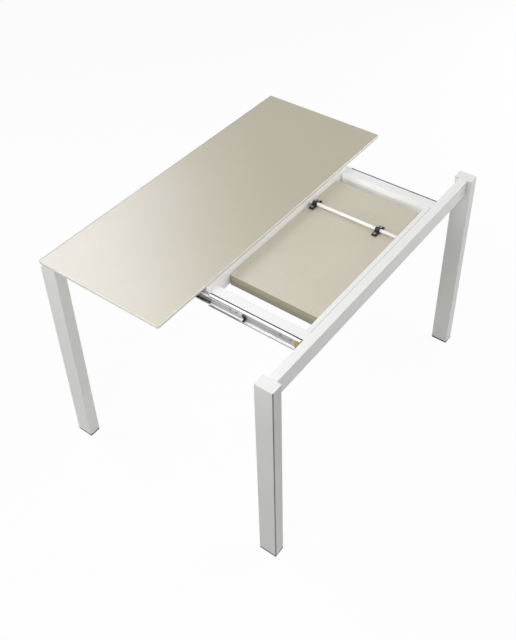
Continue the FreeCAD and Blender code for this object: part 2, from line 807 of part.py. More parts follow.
def build_stop(side):
    """The plastic stop that closes the intermediate member's end below and jogs back along its web above."""
    sign = SIDES[side]
    inside = "(middle_web + slide_sheet)"
    foot_top = "(core_low - ball_clearance)"
    foot_size = ("stop_thickness", "middle_tip - middle_web", f"{foot_top} - middle_low")
    foot = slide_block(f"{side}_stop_foot", sign, ("intermediate_end", "middle_web", "middle_low"), foot_size)
    start = "intermediate_end - stop_jog"
    bridge_size = ("stop_jog + stop_thickness", "stop_depth", "stop_thickness")
    low = (start, inside, f"{foot_top} - stop_thickness")
    bridge = slide_block(f"{side}_stop_bridge", sign, low, bridge_size)
    post_size = ("stop_thickness", "stop_depth", f"middle_high - slide_sheet - {foot_top}")
    post = slide_block(f"{side}_stop_post", sign, (start, inside, foot_top), post_size)
    node(fuse(f"{side}_slide_stop", [foot, bridge, post]))


def slide_block(label, sign, low, size):
    """A box on a slide, whose low corner and sides are given along it, outwards from it and up it."""
    reach = f"{low[1]} + {size[1]}"
    y = f"slide_face + {low[1]}" if sign > 0 else f"-(slide_face + {reach})"
    return block(label, (low[0], y, f"slide_bottom + {low[2]}"), size)


def build_slide_screws():
    """The flush screws of the moving members and the pan head screws of the fixed members."""
    flush = []
    pans = []
    for side, sign in SIDES.items():
        for index, spot in enumerate(slide_screw_spots()):
            seat = (f"moving_start + {spot}", f"{sign} * slide_face", "slide_middle")
            shank = ("screw_radius", "slide_screw_length")
            head = ("flush_head_radius", "slide_sheet - screw_clearance")
            flush.append(headed_screw(f"{side}_slide_screw_{index}", "Y", seat, shank, head, -sign))
        for index, spot in enumerate(rail_screw_spots()):
            depth = f"{sign} * (slide_face + core_web - slide_sheet)"
            seat = (f"fixed_start + {spot}", depth, "slide_middle")
            shank = ("screw_radius", "rail_screw_length")
            head = ("pan_head_radius", "pan_head_height")
            pans.append(headed_screw(f"{side}_rail_screw_{index}", "Y", seat, shank, head, sign))
    node(group("slide_screws", flush))
    node(group("fixed_member_screws", pans))


def build_leaf():
    """The two panels of the folded leaf, their concealed hinges, the rod and its clips."""
    x_spots = ["hinge_inset", "leaf_width / 2", "leaf_width - hinge_inset"]
    bore = "hinge_barrel_radius + hinge_clearance"
    outline = rectangle(("0", "-panel_thickness"), ("leaf_width", "0"))
    barrels = []
    links = []
    for name, top in (("upper", "leaf_top"), ("lower", "leaf_middle")):
        place = ("leaf_left", "leaf_back", top)
        panel = extrusion(f"leaf_{name}_panel", "Y", [outline], "leaf_length", place, backwards=True)
        holes = [((x, "-panel_thickness / 2"), bore) for x in x_spots]
        drill(panel, f"{name}_hinge_bores", "Y", holes, "hinge_barrel_depth", upwards=False)
        if name == "upper":
            spots = []
            for start in CLIP_STARTS.values():
                for reach in ("clip_screw_reach", "-clip_screw_reach"):
                    x = f"{start} + clip_width / 2 - leaf_left"
                    spots.append(((x, f"rod_offset + {reach} - leaf_back"), "hole_radius"))
            drill(panel, "clip_screw_holes", "Z", spots, "clip_screw_length", upwards=False)
        node(panel)
        for index, x in enumerate(x_spots):
            start = (f"leaf_left + {x}", "leaf_back - hinge_barrel_depth", f"{top} - panel_thickness / 2")
            label = f"{name}_hinge_barrel_{index}"
            barrels.append(round_bar(label, "Y", start, "hinge_barrel_radius", "hinge_barrel_depth"))
    for index, x in enumerate(x_spots):
        low = (
            f"leaf_left + {x} - hinge_link_width / 2",
            "leaf_back",
            "leaf_middle - panel_thickness / 2 - hinge_barrel_radius / 2",
        )
        size = ("hinge_link_width", "hinge_link_depth", "panel_thickness + hinge_barrel_radius")
        links.append(block(f"hinge_link_{index}", low, size))
    node(group("leaf_hinge_barrels", barrels))
    node(group("leaf_hinge_links", links))

    rod_start = ("well_left - rod_seat", "rod_offset", "rod_height")
    rod_length = "well_right + beam_wall - well_left + rod_seat"
    node(round_bar("pivot_rod", "X", rod_start, "rod_radius", rod_length))

    screws = []
    for end, start in CLIP_STARTS.items():
        screws += build_clip(end, start)
    node(group("clip_screws", screws))


def build_clip(end, start):
    """A saddle clip over the rod, screwed to the upper panel on both sides of it.

    Returns the clip's two screws.
    """
    name = f"{end}_rod_clip"
    low = (start, "rod_offset - clip_length / 2", "leaf_top")
    base = block(f"{name}_base", low, ("clip_width", "clip_length", "clip_base"))
    low = (start, "rod_offset - clip_round", "leaf_top")
    cheeks = block(f"{name}_cheeks", low, ("clip_width", "2 * clip_round", "rod_rise"))
    centre = (start, "rod_offset", "rod_height")
    crown = round_bar(f"{name}_crown", "X", centre, "clip_round", "clip_width")
    saddle = fuse(f"{name}_saddle", [base, cheeks, crown])
    tools = [round_bar(f"{name}_bore", "X", centre, "clip_bore", "clip_width")]
    screws = []
    for side, sign in SIDES.items():
        spot = (f"{start} + clip_width / 2", f"rod_offset + {sign} * clip_screw_reach", "leaf_top")
        tools.append(round_bar(f"{name}_{side}_hole", "Z", spot, "hole_radius", "clip_base"))
        seat = (spot[0], spot[1], "leaf_top + clip_base")
        shank = ("screw_radius", "clip_screw_length")
        head = ("pan_head_radius", "pan_head_height")
        screws.append(headed_screw(f"{name}_{side}_screw", "Z", seat, shank, head, -1))
    node(cut(name, saddle, tools))
    return screws


def build_brackets():
    """The stepped plates under two of the well's beams that the front of the stored leaf lies on."""
    plates = []
    screws = []
    for end, edge, sign in (("left", "well_left", 1), ("right", "well_right", -1)):
        inside = f"{edge} - bracket_seat" if sign > 0 else f"{edge} - bracket_reach"
        y_low = "bracket_middle - bracket_length / 2"
        plate = block(
            f"{end}_rest_plate",
            (inside, y_low, "bracket_top - bracket_sheet"),
            ("bracket_seat + bracket_reach", "bracket_length", "bracket_sheet"),
        )
        seat_low = f"{edge} - bracket_seat" if sign > 0 else edge
        riser = block(
            f"{end}_rest_riser",
            (seat_low, y_low, "bracket_top"),
            ("bracket_seat", "bracket_length", "bracket_rise"),
        )
        whole = fuse(f"{end}_rest_whole", [plate, riser])
        tools = []
        for index, y in enumerate(REST_SPOTS):
            spot = (f"{seat_low} + bracket_seat / 2", y, "bracket_top - bracket_sheet")
            tools.append(round_bar(f"{end}_rest_hole_{index}", "Z", spot, "hole_radius", "bracket_depth"))
            shank = ("screw_radius", "bracket_depth + 3 * beam_wall")
            head = ("pan_head_radius", "pan_head_height")
            screws.append(headed_screw(f"{end}_rest_screw_{index}", "Z", spot, shank, head, 1))
        plates.append(cut(f"{end}_leaf_rest", whole, tools))
    node(group("leaf_rest_brackets", plates))
    node(group("bracket_screws", screws))


def check_and_write():
    """Checks every object and sub-part, then writes each sub-part to its own file."""
    doc.recompute()
    for item in doc.Objects:
        if "Invalid" in item.State or "Error" in item.State:
            raise RuntimeError(f"{item.Label} failed: {item.State}")
    for item in nodes:
        if item.Shape.isNull() or not item.Shape.isValid() or not item.Shape.Solids:
            raise RuntimeError(f"{item.Label} has no sound shape")
    os.makedirs("parts", exist_ok=True)
    for item in nodes:
        item.Shape.exportStep(f"parts/{item.Label}.step")
        box = item.Shape.BoundBox
        print(
            f"{item.Label}: {len(item.Shape.Solids)} solids, x {box.XMin:.1f} {box.XMax:.1f}, "
            f"y {box.YMin:.1f} {box.YMax:.1f}, z {box.ZMin:.1f} {box.ZMax:.1f}"
        )


build_glass()
for end_name in ENDS:
    for side_name in SIDES:
        build_leg(end_name, side_name)
build_beams()
build_plugs()
for side_name in SIDES:
    build_slide(side_name)
build_slide_screws()
build_leaf()
build_brackets()
check_and_write()
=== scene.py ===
"""Looks of the extending kitchen table.

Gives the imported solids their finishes, makes the finer pieces over them, and sets up
the studio and the camera.
"""
import json
import logging
import math
from dataclasses import dataclass, field, replace
from enum import Enum
from typing import Callable, Iterable, Protocol, Sequence

import bmesh
import bpy
from mathutils import Matrix, Vector


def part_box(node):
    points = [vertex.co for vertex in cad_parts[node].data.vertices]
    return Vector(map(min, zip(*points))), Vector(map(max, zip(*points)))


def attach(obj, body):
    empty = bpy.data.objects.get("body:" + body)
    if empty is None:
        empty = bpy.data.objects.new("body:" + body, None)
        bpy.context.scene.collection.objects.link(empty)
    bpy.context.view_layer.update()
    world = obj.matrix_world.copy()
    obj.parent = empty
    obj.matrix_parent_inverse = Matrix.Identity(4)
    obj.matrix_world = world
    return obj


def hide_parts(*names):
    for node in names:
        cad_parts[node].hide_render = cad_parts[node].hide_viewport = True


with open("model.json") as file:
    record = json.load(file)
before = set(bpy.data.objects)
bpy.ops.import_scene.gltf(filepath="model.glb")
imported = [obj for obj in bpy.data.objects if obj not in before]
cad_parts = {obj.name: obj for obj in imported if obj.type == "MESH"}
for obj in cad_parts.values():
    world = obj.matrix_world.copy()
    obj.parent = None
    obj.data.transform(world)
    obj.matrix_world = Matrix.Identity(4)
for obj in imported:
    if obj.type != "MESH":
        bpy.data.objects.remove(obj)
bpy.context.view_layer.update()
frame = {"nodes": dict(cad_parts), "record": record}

Node = bpy.types.Node
Socket = bpy.types.NodeSocket
Tree = bpy.types.NodeTree
Material = bpy.types.Material
Item = bpy.types.Object
Mesh = bmesh.types.BMesh
Given = dict[str, Socket]
Colour = tuple[float, float, float]
Place = tuple[float, float, float]
Point = tuple[float, float]
Span = tuple[float, float]
Box = tuple[Vector, Vector]
Placer = Callable[[float, Vector], Vector]

LOG = logging.getLogger("table")
MM = 0.001
TURN = 2.0 * math.pi
WELD_DISTANCE = 0.01 * MM
SMOOTH_ANGLE = math.radians(35.0)
BEVEL_ANGLE = math.radians(50.0)
BEVEL_STEPS = 2
RISING: Span = (0.0, 1.0)
FALLING: Span = (1.0, 0.0)
RAMP_INPUTS = ("Value", "From Min", "From Max", "To Min", "To Max")
MIX_COLOUR_INPUTS = (0, 6, 7)
MIX_COLOUR_OUTPUT = 2
ORDER_DIGITS = 4
SLOT_OF: dict[str, str] = {
    part["node"]: part["material_slot"] for part in frame["record"]["subparts"]
}
GLASS_LOW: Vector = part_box("tabletop_glass")[0]
LEG_LOW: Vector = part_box("right_front_leg")[0]
SLIDE_HIGH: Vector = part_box("back_slide_moving_member")[1]


class Effect(Enum):
    """The surface effects that several finishes share, each a node group."""

    MOTTLE = "cloudy_mottle"
    PEEL = "coat_peel"
    EDGE = "edge_wear"
    DUST = "settled_dust"
    BRUSHED = "rolling_lines"
    # Painted shade: darkening by ambient occlusion in corners where pieces meet.
    CREVICE_SHADE = "painted_crevice_shade"


class Coordinate(Enum):
    """What a finish can ask of the point that it colours."""

    PLACE = "Object"
    NORMAL = "Normal"


class Run(Enum):
    """The way that a screw's shank runs. The last two are as at the back, and turn at the front."""

    UP = (0.0, 0.0, 1.0)
    DOWN = (0.0, 0.0, -1.0)
    RIGHT = (1.0, 0.0, 0.0)
    INWARD = (0.0, -1.0, 0.0)
    OUTWARD = (0.0, 1.0, 0.0)


class Recess(Enum):
    """The drive in a screw's head, by the number of corners of its outline."""

    CROSS = 12
    HEXAGON = 6


class Wiring:
    """Places and links the nodes of one material, group or world."""

    def __init__(self, tree: Tree) -> None:
        """Starts on a tree that it empties."""
        tree.nodes.clear()
        self.tree = tree

    def feed(self, node: Node, inputs: dict) -> None:
        """Sets a node's inputs.

        Args:
            node: The node.
            inputs: Values or sockets by input name or number. A socket is linked.
        """
        for key, value in inputs.items():
            if isinstance(value, Socket):
                self.tree.links.new(value, node.inputs[key])
            else:
                node.inputs[key].default_value = value

    def add(self, kind: str, inputs: dict | None = None, **settings: object) -> Node:
        """Adds a node.

        Args:
            kind: The node's type.
            inputs: Values or sockets by input name or number.
            settings: The node's own properties.

        Returns:
            The new node.
        """
        item = self.tree.nodes.new(kind)
        for name, value in settings.items():
            setattr(item, name, value)
        self.feed(item, inputs or {})
        return item

    def math(self, operation: str, *values: object, clamp: bool = False) -> Socket:
        """Adds a sum of one or two values.

        Args:
            operation: The sum, as Blender names it.
            values: Numbers or sockets.
            clamp: True to keep the result between 0 and 1.

        Returns:
            The result's socket.
        """
        inputs = dict(enumerate(values))
        item = self.add("ShaderNodeMath", inputs, operation=operation, use_clamp=clamp)
        return item.outputs[0]

    def ramp(self, value: Socket, span: Span, result: tuple = RISING) -> Socket:
        """Maps a value from one range onto another, and holds it there.

        Args:
            value: The socket that is mapped.
            span: Where the first range starts and ends.
            result: The numbers or sockets that the second range starts and ends at.

        Returns:
            The result's socket.
        """
        inputs = dict(zip(RAMP_INPUTS, (value, *span, *result)))
        return self.add("ShaderNodeMapRange", inputs).outputs["Result"]

    def step(self, value: Socket, line: float, fade: float, result: Span) -> Socket:
        """Maps a value from one level to another across a line that is as wide as the fade."""
        return self.ramp(value, (line, line + fade), result)

    def blend(self, mask: Socket, below: object, above: object) -> Socket:
        """Mixes two colours.

        Args:
            mask: 0 for the first colour, 1 for the second.
            below: The first colour, or its socket.
            above: The second colour, or its socket.

        Returns:
            The mixed colour's socket.
        """
        ends = [end if isinstance(end, Socket) else (*end, 1.0) for end in (below, above)]
        inputs = dict(zip(MIX_COLOUR_INPUTS, (mask, *ends)))
        return self.add("ShaderNodeMix", inputs, data_type="RGBA").outputs[MIX_COLOUR_OUTPUT]

    def effect(self, effect: Effect, **inputs: float) -> Socket:
        """Places a shared effect, with values by input name, and gives its only output."""
        tree = EffectShelf.group(effect)
        return self.add("ShaderNodeGroup", inputs, node_tree=tree).outputs[0]

    def clouds(self, scale: float, span: Span = RISING) -> Socket:
        """Places soft clouds of a scale between two values."""
        return self.effect(Effect.MOTTLE, Scale=scale, Low=span[0], High=span[1])

    def place(self) -> Socket:
        """Gives a point's place on its piece."""
        return self.add("ShaderNodeTexCoord").outputs[Coordinate.PLACE.value]

    def axes(self, coordinate: Coordinate) -> Sequence[Socket]:
        """Gives the X, Y and Z of a point's place or normal."""
        found = self.add("ShaderNodeTexCoord").outputs[coordinate.value]
        return self.add("ShaderNodeSeparateXYZ", {0: found}).outputs

    def tilt(self) -> Socket:
        """Gives how level a face lies, from 0 for a wall to 1 for a flat."""
        return self.math("ABSOLUTE", self.axes(Coordinate.NORMAL)[2])

    def noise(self, place: Socket, scale: object, detail: float) -> Socket:
        """Gives noise.

        Args:
            place: The place that it is read at.
            scale: How fine it is, as a number or a socket.
            detail: The number of finer layers on it.

        Returns:
            The noise's value.
        """
        inputs = {"Vector": place, "Scale": scale, "Detail": detail}
        return self.add("ShaderNodeTexNoise", inputs).outputs[0]

    def bump(self, shader: Node, relief: Socket, strength: float, height: float) -> None:
        """Bumps a shader's normal.

        Args:
            shader: The shader node.
            relief: The relief's socket.
            strength: How much of it shows.
            height: Its height in metres.
        """
        inputs = {"Strength": strength, "Distance": height, "Height": relief}
        self.feed(shader, {"Normal": self.add("ShaderNodeBump", inputs).outputs[0]})


class EffectShelf:
    """Builds each shared effect once and keeps it."""

    SAMPLES = 6
    CLOUD_DETAIL = 5.0
    CLOUD_SPAN: Span = (0.32, 0.68)
    PEEL_DETAIL = 2.0
    PEBBLE_SHARE = 0.4
    CHIP_SCALE = 90.0
    CHIP_DETAIL = 4.0
    CHIP_SPAN: Span = (0.35, 0.65)
    CHIP_LEAST = 0.35
    FILM_TILT: Span = (0.5, 0.95)
    FILM_DETAIL = 7.0
    FILM_SPAN: Span = (0.4, 0.7)
    LINE_STRETCH: Place = (0.04, 1.0, 1.0)
    LINE_DETAIL = 6.0
    LINE_SPAN: Span = (0.3, 0.7)

    _groups: dict[Effect, Tree] = {}

    @classmethod
    def group(cls, effect: Effect) -> Tree:
        """Gives the group of an effect, and builds it at the first call.

        Args:
            effect: Which effect.

        Returns:
            The node group.
        """
        if effect not in cls._groups:
            cls._groups[effect] = cls.build(effect)
        return cls._groups[effect]

    @classmethod
    def build(cls, effect: Effect) -> Tree:
        """Builds the group of an effect, with number inputs and one number output.

        Args:
            effect: Which effect.

        Returns:
            The node group.
        """
        maker, inputs, output = {
            Effect.MOTTLE: (cls.mottle, ("Scale", "Low", "High"), "Value"),
            Effect.PEEL: (cls.peel, ("Scale",), "Height"),
            Effect.EDGE: (cls.edge, ("Radius", "Gain"), "Mask"),
            Effect.DUST: (cls.dust, ("Scale", "Amount"), "Mask"),
            Effect.BRUSHED: (cls.brushed, ("Scale", "Low", "High"), "Value"),
            Effect.CREVICE_SHADE: (cls.crevice, ("Distance", "Gain"), "Mask"),
        }[effect]
        tree = bpy.data.node_groups.new(effect.value, "ShaderNodeTree")
        for name in inputs:
            tree.interface.new_socket(name, in_out="INPUT", socket_type="NodeSocketFloat")
        tree.interface.new_socket(output, in_out="OUTPUT", socket_type="NodeSocketFloat")
        wiring = Wiring(tree)
        entry = wiring.add("NodeGroupInput")
        result = maker(wiring, {name: entry.outputs[name] for name in inputs})
        wiring.add("NodeGroupOutput", {output: result})
        return tree

    @classmethod
    def mottle(cls, wiring: Wiring, given: Given) -> Socket:
        """Soft clouds between two values.

        Args:
            wiring: The group's wiring.
            given: The group's inputs.

        Returns:
            The clouds' value.
        """
        noise = wiring.noise(wiring.place(), given["Scale"], cls.CLOUD_DETAIL)
        return wiring.ramp(noise, cls.CLOUD_SPAN, (given["Low"], given["High"]))

    @classmethod
    def peel(cls, wiring: Wiring, given: Given) -> Socket:
        """The fine pebbled height of a sprayed coat.

        Args:
            wiring: The group's wiring.
            given: The group's inputs.

        Returns:
            The height.
        """
        place = wiring.place()
        fine = wiring.noise(place, given["Scale"], cls.PEEL_DETAIL)
        cells = wiring.add("ShaderNodeTexVoronoi", {"Vector": place, "Scale": given["Scale"]})
        pebbles = wiring.math("MULTIPLY", cells.outputs[0], cls.PEBBLE_SHARE)
        return wiring.math("ADD", fine, pebbles)

    @classmethod
    def edge(cls, wiring: Wiring, given: Given) -> Socket:
        """A broken mask along sharp edges.

        Args:
            wiring: The group's wiring.
            given: The group's inputs.

        Returns:
            The mask.
        """
        soft = wiring.add("ShaderNodeBevel", {"Radius": given["Radius"]}, samples=cls.SAMPLES)
        true = wiring.add("ShaderNodeNewGeometry").outputs["Normal"]
        inputs = {0: soft.outputs[0], 1: true}
        dot = wiring.add("ShaderNodeVectorMath", inputs, operation="DOT_PRODUCT").outputs["Value"]
        bent = wiring.math("MULTIPLY", wiring.math("SUBTRACT", 1.0, dot), given["Gain"])
        noise = wiring.noise(wiring.place(), cls.CHIP_SCALE, cls.CHIP_DETAIL)
        chips = wiring.ramp(noise, cls.CHIP_SPAN, (cls.CHIP_LEAST, 1.0))
        return wiring.math("MULTIPLY", bent, chips, clamp=True)

    @classmethod
    def dust(cls, wiring: Wiring, given: Given) -> Socket:
        """A thin uneven film on faces that look up.

        Args:
            wiring: The group's wiring.
            given: The group's inputs.

        Returns:
            The mask.
        """
        upward = wiring.ramp(wiring.axes(Coordinate.NORMAL)[2], cls.FILM_TILT)
        film = wiring.math("MULTIPLY", upward, given["Amount"])
        noise = wiring.noise(wiring.place(), given["Scale"], cls.FILM_DETAIL)
        return wiring.math("MULTIPLY", film, wiring.ramp(noise, cls.FILM_SPAN), clamp=True)

    @classmethod
    def brushed(cls, wiring: Wiring, given: Given) -> Socket:
        """Lines along X, as rolled sheet has.

        Args:
            wiring: The group's wiring.
            given: The group's inputs.

        Returns:
            The lines' value.
        """
        inputs = {"Vector": wiring.place(), "Scale": cls.LINE_STRETCH}
        drawn = wiring.add("ShaderNodeMapping", inputs).outputs[0]
        noise = wiring.noise(drawn, given["Scale"], cls.LINE_DETAIL)
        return wiring.ramp(noise, cls.LINE_SPAN, (given["Low"], given["High"]))

    @classmethod
    def crevice(cls, wiring: Wiring, given: Given) -> Socket:
        """A mask of painted shade from ambient occlusion, in corners where pieces meet.

        Args:
            wiring: The group's wiring.
            given: The group's inputs.

        Returns:
            The mask.
        """
        inputs = {"Distance": given["Distance"]}
        near = wiring.add("ShaderNodeAmbientOcclusion", inputs, samples=cls.SAMPLES)
        closed = wiring.math("SUBTRACT", 1.0, near.outputs["AO"])
        return wiring.math("MULTIPLY", closed, given["Gain"], clamp=True)


class Finish(Protocol):
    """Anything that makes a material."""

    def material(self, name: str) -> Material:
        """Makes the material of that name."""


@dataclass(frozen=True)
class Grain:
    """The fine relief of a coat: how dense it is, how much shows, and its height in metres."""

    scale: float
    strength: float
    height: float

    def put_on(self, wiring: Wiring, shader: Node) -> None:
        """Bumps the normal of a material's shader with the grain."""
        relief = wiring.effect(Effect.PEEL, Scale=self.scale)
        wiring.bump(shader, relief, self.strength, self.height)


def new_material(name: str) -> tuple[Material, Wiring, Node]:
    """Starts a material with only its shader and output.

    Args:
        name: The material's name.

    Returns:
        The material, its wiring and its shader node.
    """
    material = bpy.data.materials.new(name)
    material.use_nodes = True
    wiring = Wiring(material.node_tree)
    shader = wiring.add("ShaderNodeBsdfPrincipled")
    wiring.add("ShaderNodeOutputMaterial", {"Surface": shader.outputs[0]})
    return material, wiring, shader


def grey(level: float, warmth: float = 0.0) -> Colour:
    """Gives a grey, with its blue lowered by the warmth."""
    return (level, level, level - warmth)


@dataclass(frozen=True)
class PowderCoat:
    """Sprayed and baked coat on steel tube, with the marks that only a leg has."""

    colour: Colour = grey(0.81, 0.01)
    shade: Colour = grey(0.78, 0.015)
    worn: Colour = grey(0.86, 0.01)
    # Painted shade: colour laid in crevices where ambient occlusion finds shade.
    crevice_shade: Colour = (0.42, 0.41, 0.39)
    dark: Colour = grey(0.035, 0.001)
    roughness: Span = (0.40, 0.50)
    cloud_scale: float = 7.0
    gloss_scale: float = 38.0
    wear_radius: float = 1.6 * MM
    wear_gain: float = 1.1
    crevice_shade_reach: float = 4.0 * MM
    crevice_shade_gain: float = 0.30
    grain: Grain = Grain(620.0, 0.16, 0.2 * MM)
    # Painted shade: a darker colour for upward faces, which takes back the lamps' light on tops.
    top_shade: Colour | None = None
    top_shade_tilt: Span = (0.6, 0.9)
    seam: float = 0.0
    seam_line: float = LEG_LOW.y + 3.5 * MM
    seam_fade: float = 0.8 * MM
    seam_bend: Span = (0.2, 0.45)
    seam_face: Span = (0.5, 0.8)
    # Painted shade: a dark band at the leg's foot, for the shadow in the gap under the leg.
    foot: float = 0.0
    foot_fade: float = 0.4 * MM

    def corner(self, wiring: Wiring) -> Socket:
        """Finds the outer front corner, where the tube's seam lies.

        Args:
            wiring: The material's wiring.

        Returns:
            The seam's strength at the corner, and 0 elsewhere.
        """
        sides = wiring.axes(Coordinate.NORMAL)
        across = wiring.axes(Coordinate.PLACE)[1]
        both = wiring.math("MINIMUM", sides[0], wiring.math("MULTIPLY", sides[1], -1.0))
        bend = wiring.ramp(both, self.seam_bend)
        strip = wiring.step(across, self.seam_line, self.seam_fade, FALLING)
        flat = wiring.math("MULTIPLY", wiring.ramp(sides[0], self.seam_face), strip)
        return wiring.math("MULTIPLY", wiring.math("MAXIMUM", bend, flat), self.seam)

    def marks(self, wiring: Wiring, base: Socket) -> Socket:
        """Adds the painted shade on upward faces, the seam and the painted shade at the foot, where
        the coat has them.

        Args:
            wiring: The material's wiring.
            base: The coat's colour.

        Returns:
            The colour with the marks.
        """
        # Painted shade on upward faces.
        if self.top_shade:
            upward = wiring.axes(Coordinate.NORMAL)[2]
            base = wiring.blend(wiring.ramp(upward, self.top_shade_tilt), base, self.top_shade)
        if self.seam:
            base = wiring.blend(self.corner(wiring), base, self.dark)
        # Painted shade at the foot, for the shadowed gap under the leg.
        if self.foot:
            height = wiring.axes(Coordinate.PLACE)[2]
            line = wiring.step(height, self.foot, self.foot_fade, FALLING)
            base = wiring.blend(line, base, self.dark)
        return base

    def material(self, name: str) -> Material:
        """Makes the coat's material.

        Args:
            name: The material's name.

        Returns:
            The material.
        """
        material, wiring, shader = new_material(name)
        base = wiring.blend(wiring.clouds(self.cloud_scale), self.shade, self.colour)
        wear = wiring.effect(Effect.EDGE, Radius=self.wear_radius, Gain=self.wear_gain)
        base = wiring.blend(wear, base, self.worn)
        # Painted shade in crevices, from ambient occlusion.
        crevice_shade = wiring.effect(Effect.CREVICE_SHADE, Distance=self.crevice_shade_reach, Gain=self.crevice_shade_gain)
        base = self.marks(wiring, wiring.blend(crevice_shade, base, self.crevice_shade))
        rough = wiring.clouds(self.gloss_scale, self.roughness)
        wiring.feed(shader, {"Base Color": base, "Roughness": rough})
        self.grain.put_on(wiring, shader)
        return material


@dataclass(frozen=True)
class PaintedGlass:
    """Satin glass that is painted on its back, with a ground edge, a painted highlight on the bevel
    of its top edge, and painted shade on a matt strip along its left edge.
    """

    paint: Colour = (0.455, 0.415, 0.325)
    paint_shade: Colour = (0.435, 0.395, 0.305)
    # Painted highlight: pale colour on the bevel of the top edge.
    arris_highlight: Colour = (0.86, 0.83, 0.73)
    edge: Colour = (0.74, 0.72, 0.66)
    edge_foot: Colour = (0.60, 0.58, 0.52)
    edge_heights: Span = (GLASS_LOW.z + 1.0 * MM, GLASS_LOW.z + 5.0 * MM)
    rim_tilt: Span = (0.25, 0.5)
    face_tilt: Span = (0.85, 0.98)
    dust: Colour = (0.70, 0.69, 0.66)
    dust_scale: float = 60.0
    dust_amount: float = 0.02
    # Painted shade: a darker colour on the matt strip along the left edge.
    border_shade: Colour = (0.375, 0.345, 0.285)
    border_line: float = GLASS_LOW.x + 3.8 * MM
    border_fade: float = 0.4 * MM
    border_roughness: float = 0.85
    roughness: Span = (0.33, 0.37)
    cloud_scale: float = 2.2
    gloss_scale: float = 16.0
    refraction: float = 1.52
    grain: Grain = Grain(1500.0, 0.03, 0.05 * MM)

    def material(self, name: str) -> Material:
        """Makes the glass's material.

        Args:
            name: The material's name.

        Returns:
            The material.
        """
        material, wiring, shader = new_material(name)
        tilt = wiring.tilt()
        spot = wiring.axes(Coordinate.PLACE)
        paint = wiring.blend(wiring.clouds(self.cloud_scale), self.paint_shade, self.paint)
        rise = wiring.ramp(spot[2], self.edge_heights)
        edge = wiring.blend(rise, self.edge_foot, self.edge)
        rim = wiring.blend(wiring.ramp(tilt, self.rim_tilt), edge, self.arris_highlight)
        base = wiring.blend(wiring.ramp(tilt, self.face_tilt), rim, paint)
        dust = wiring.effect(Effect.DUST, Scale=self.dust_scale, Amount=self.dust_amount)
        base = wiring.blend(dust, base, self.dust)
        # Matt strip along the left edge, with painted shade in its colour as well as a rougher
        # finish.
        ground = wiring.step(spot[0], self.border_line, self.border_fade, FALLING)
        base = wiring.blend(ground, base, self.border_shade)
        matt = wiring.math("MULTIPLY", ground, self.border_roughness)
        rough = wiring.math("MAXIMUM", wiring.clouds(self.gloss_scale, self.roughness), matt)
        inputs = {"Base Color": base, "Roughness": rough, "IOR": self.refraction}
        wiring.feed(shader, inputs)
        self.grain.put_on(wiring, shader)
        return material


@dataclass(frozen=True)
class LacqueredBoard:
    """Fine satin lacquer over board, with painted shade on its upright edge faces, and a little
    rubbed.
    """

    colour: Colour = (0.515, 0.480, 0.390)
    shade: Colour = (0.487, 0.452, 0.363)
    worn: Colour = (0.66, 0.63, 0.55)
    # Painted shade: darker colour on upright edge faces.
    side_shade: Colour = (0.300, 0.262, 0.182)
    side_shade_tilt: Span = (0.2, 0.6)
    dust: Colour = (0.72, 0.70, 0.66)
    dust_scale: float = 70.0
    dust_amount: float = 0.05
    wear_radius: float = 1.2 * MM
    wear_gain: float = 0.5
    roughness: Span = (0.38, 0.48)
    cloud_scale: float = 5.0
    gloss_scale: float = 24.0
    grain: Grain = Grain(900.0, 0.10, 0.1 * MM)

    def material(self, name: str) -> Material:
        """Makes the board's material.

        Args:
            name: The material's name.

        Returns:
            The material.
        """
        material, wiring, shader = new_material(name)
        face = wiring.blend(wiring.clouds(self.cloud_scale), self.shade, self.colour)
        base = wiring.blend(wiring.ramp(wiring.tilt(), self.side_shade_tilt), self.side_shade, face)
        wear = wiring.effect(Effect.EDGE, Radius=self.wear_radius, Gain=self.wear_gain)
        base = wiring.blend(wear, base, self.worn)
        dust = wiring.effect(Effect.DUST, Scale=self.dust_scale, Amount=self.dust_amount)
        base = wiring.blend(dust, base, self.dust)
        rough = wiring.clouds(self.gloss_scale, self.roughness)
        wiring.feed(shader, {"Base Color": base, "Roughness": rough})
        self.grain.put_on(wiring, shader)
        return material


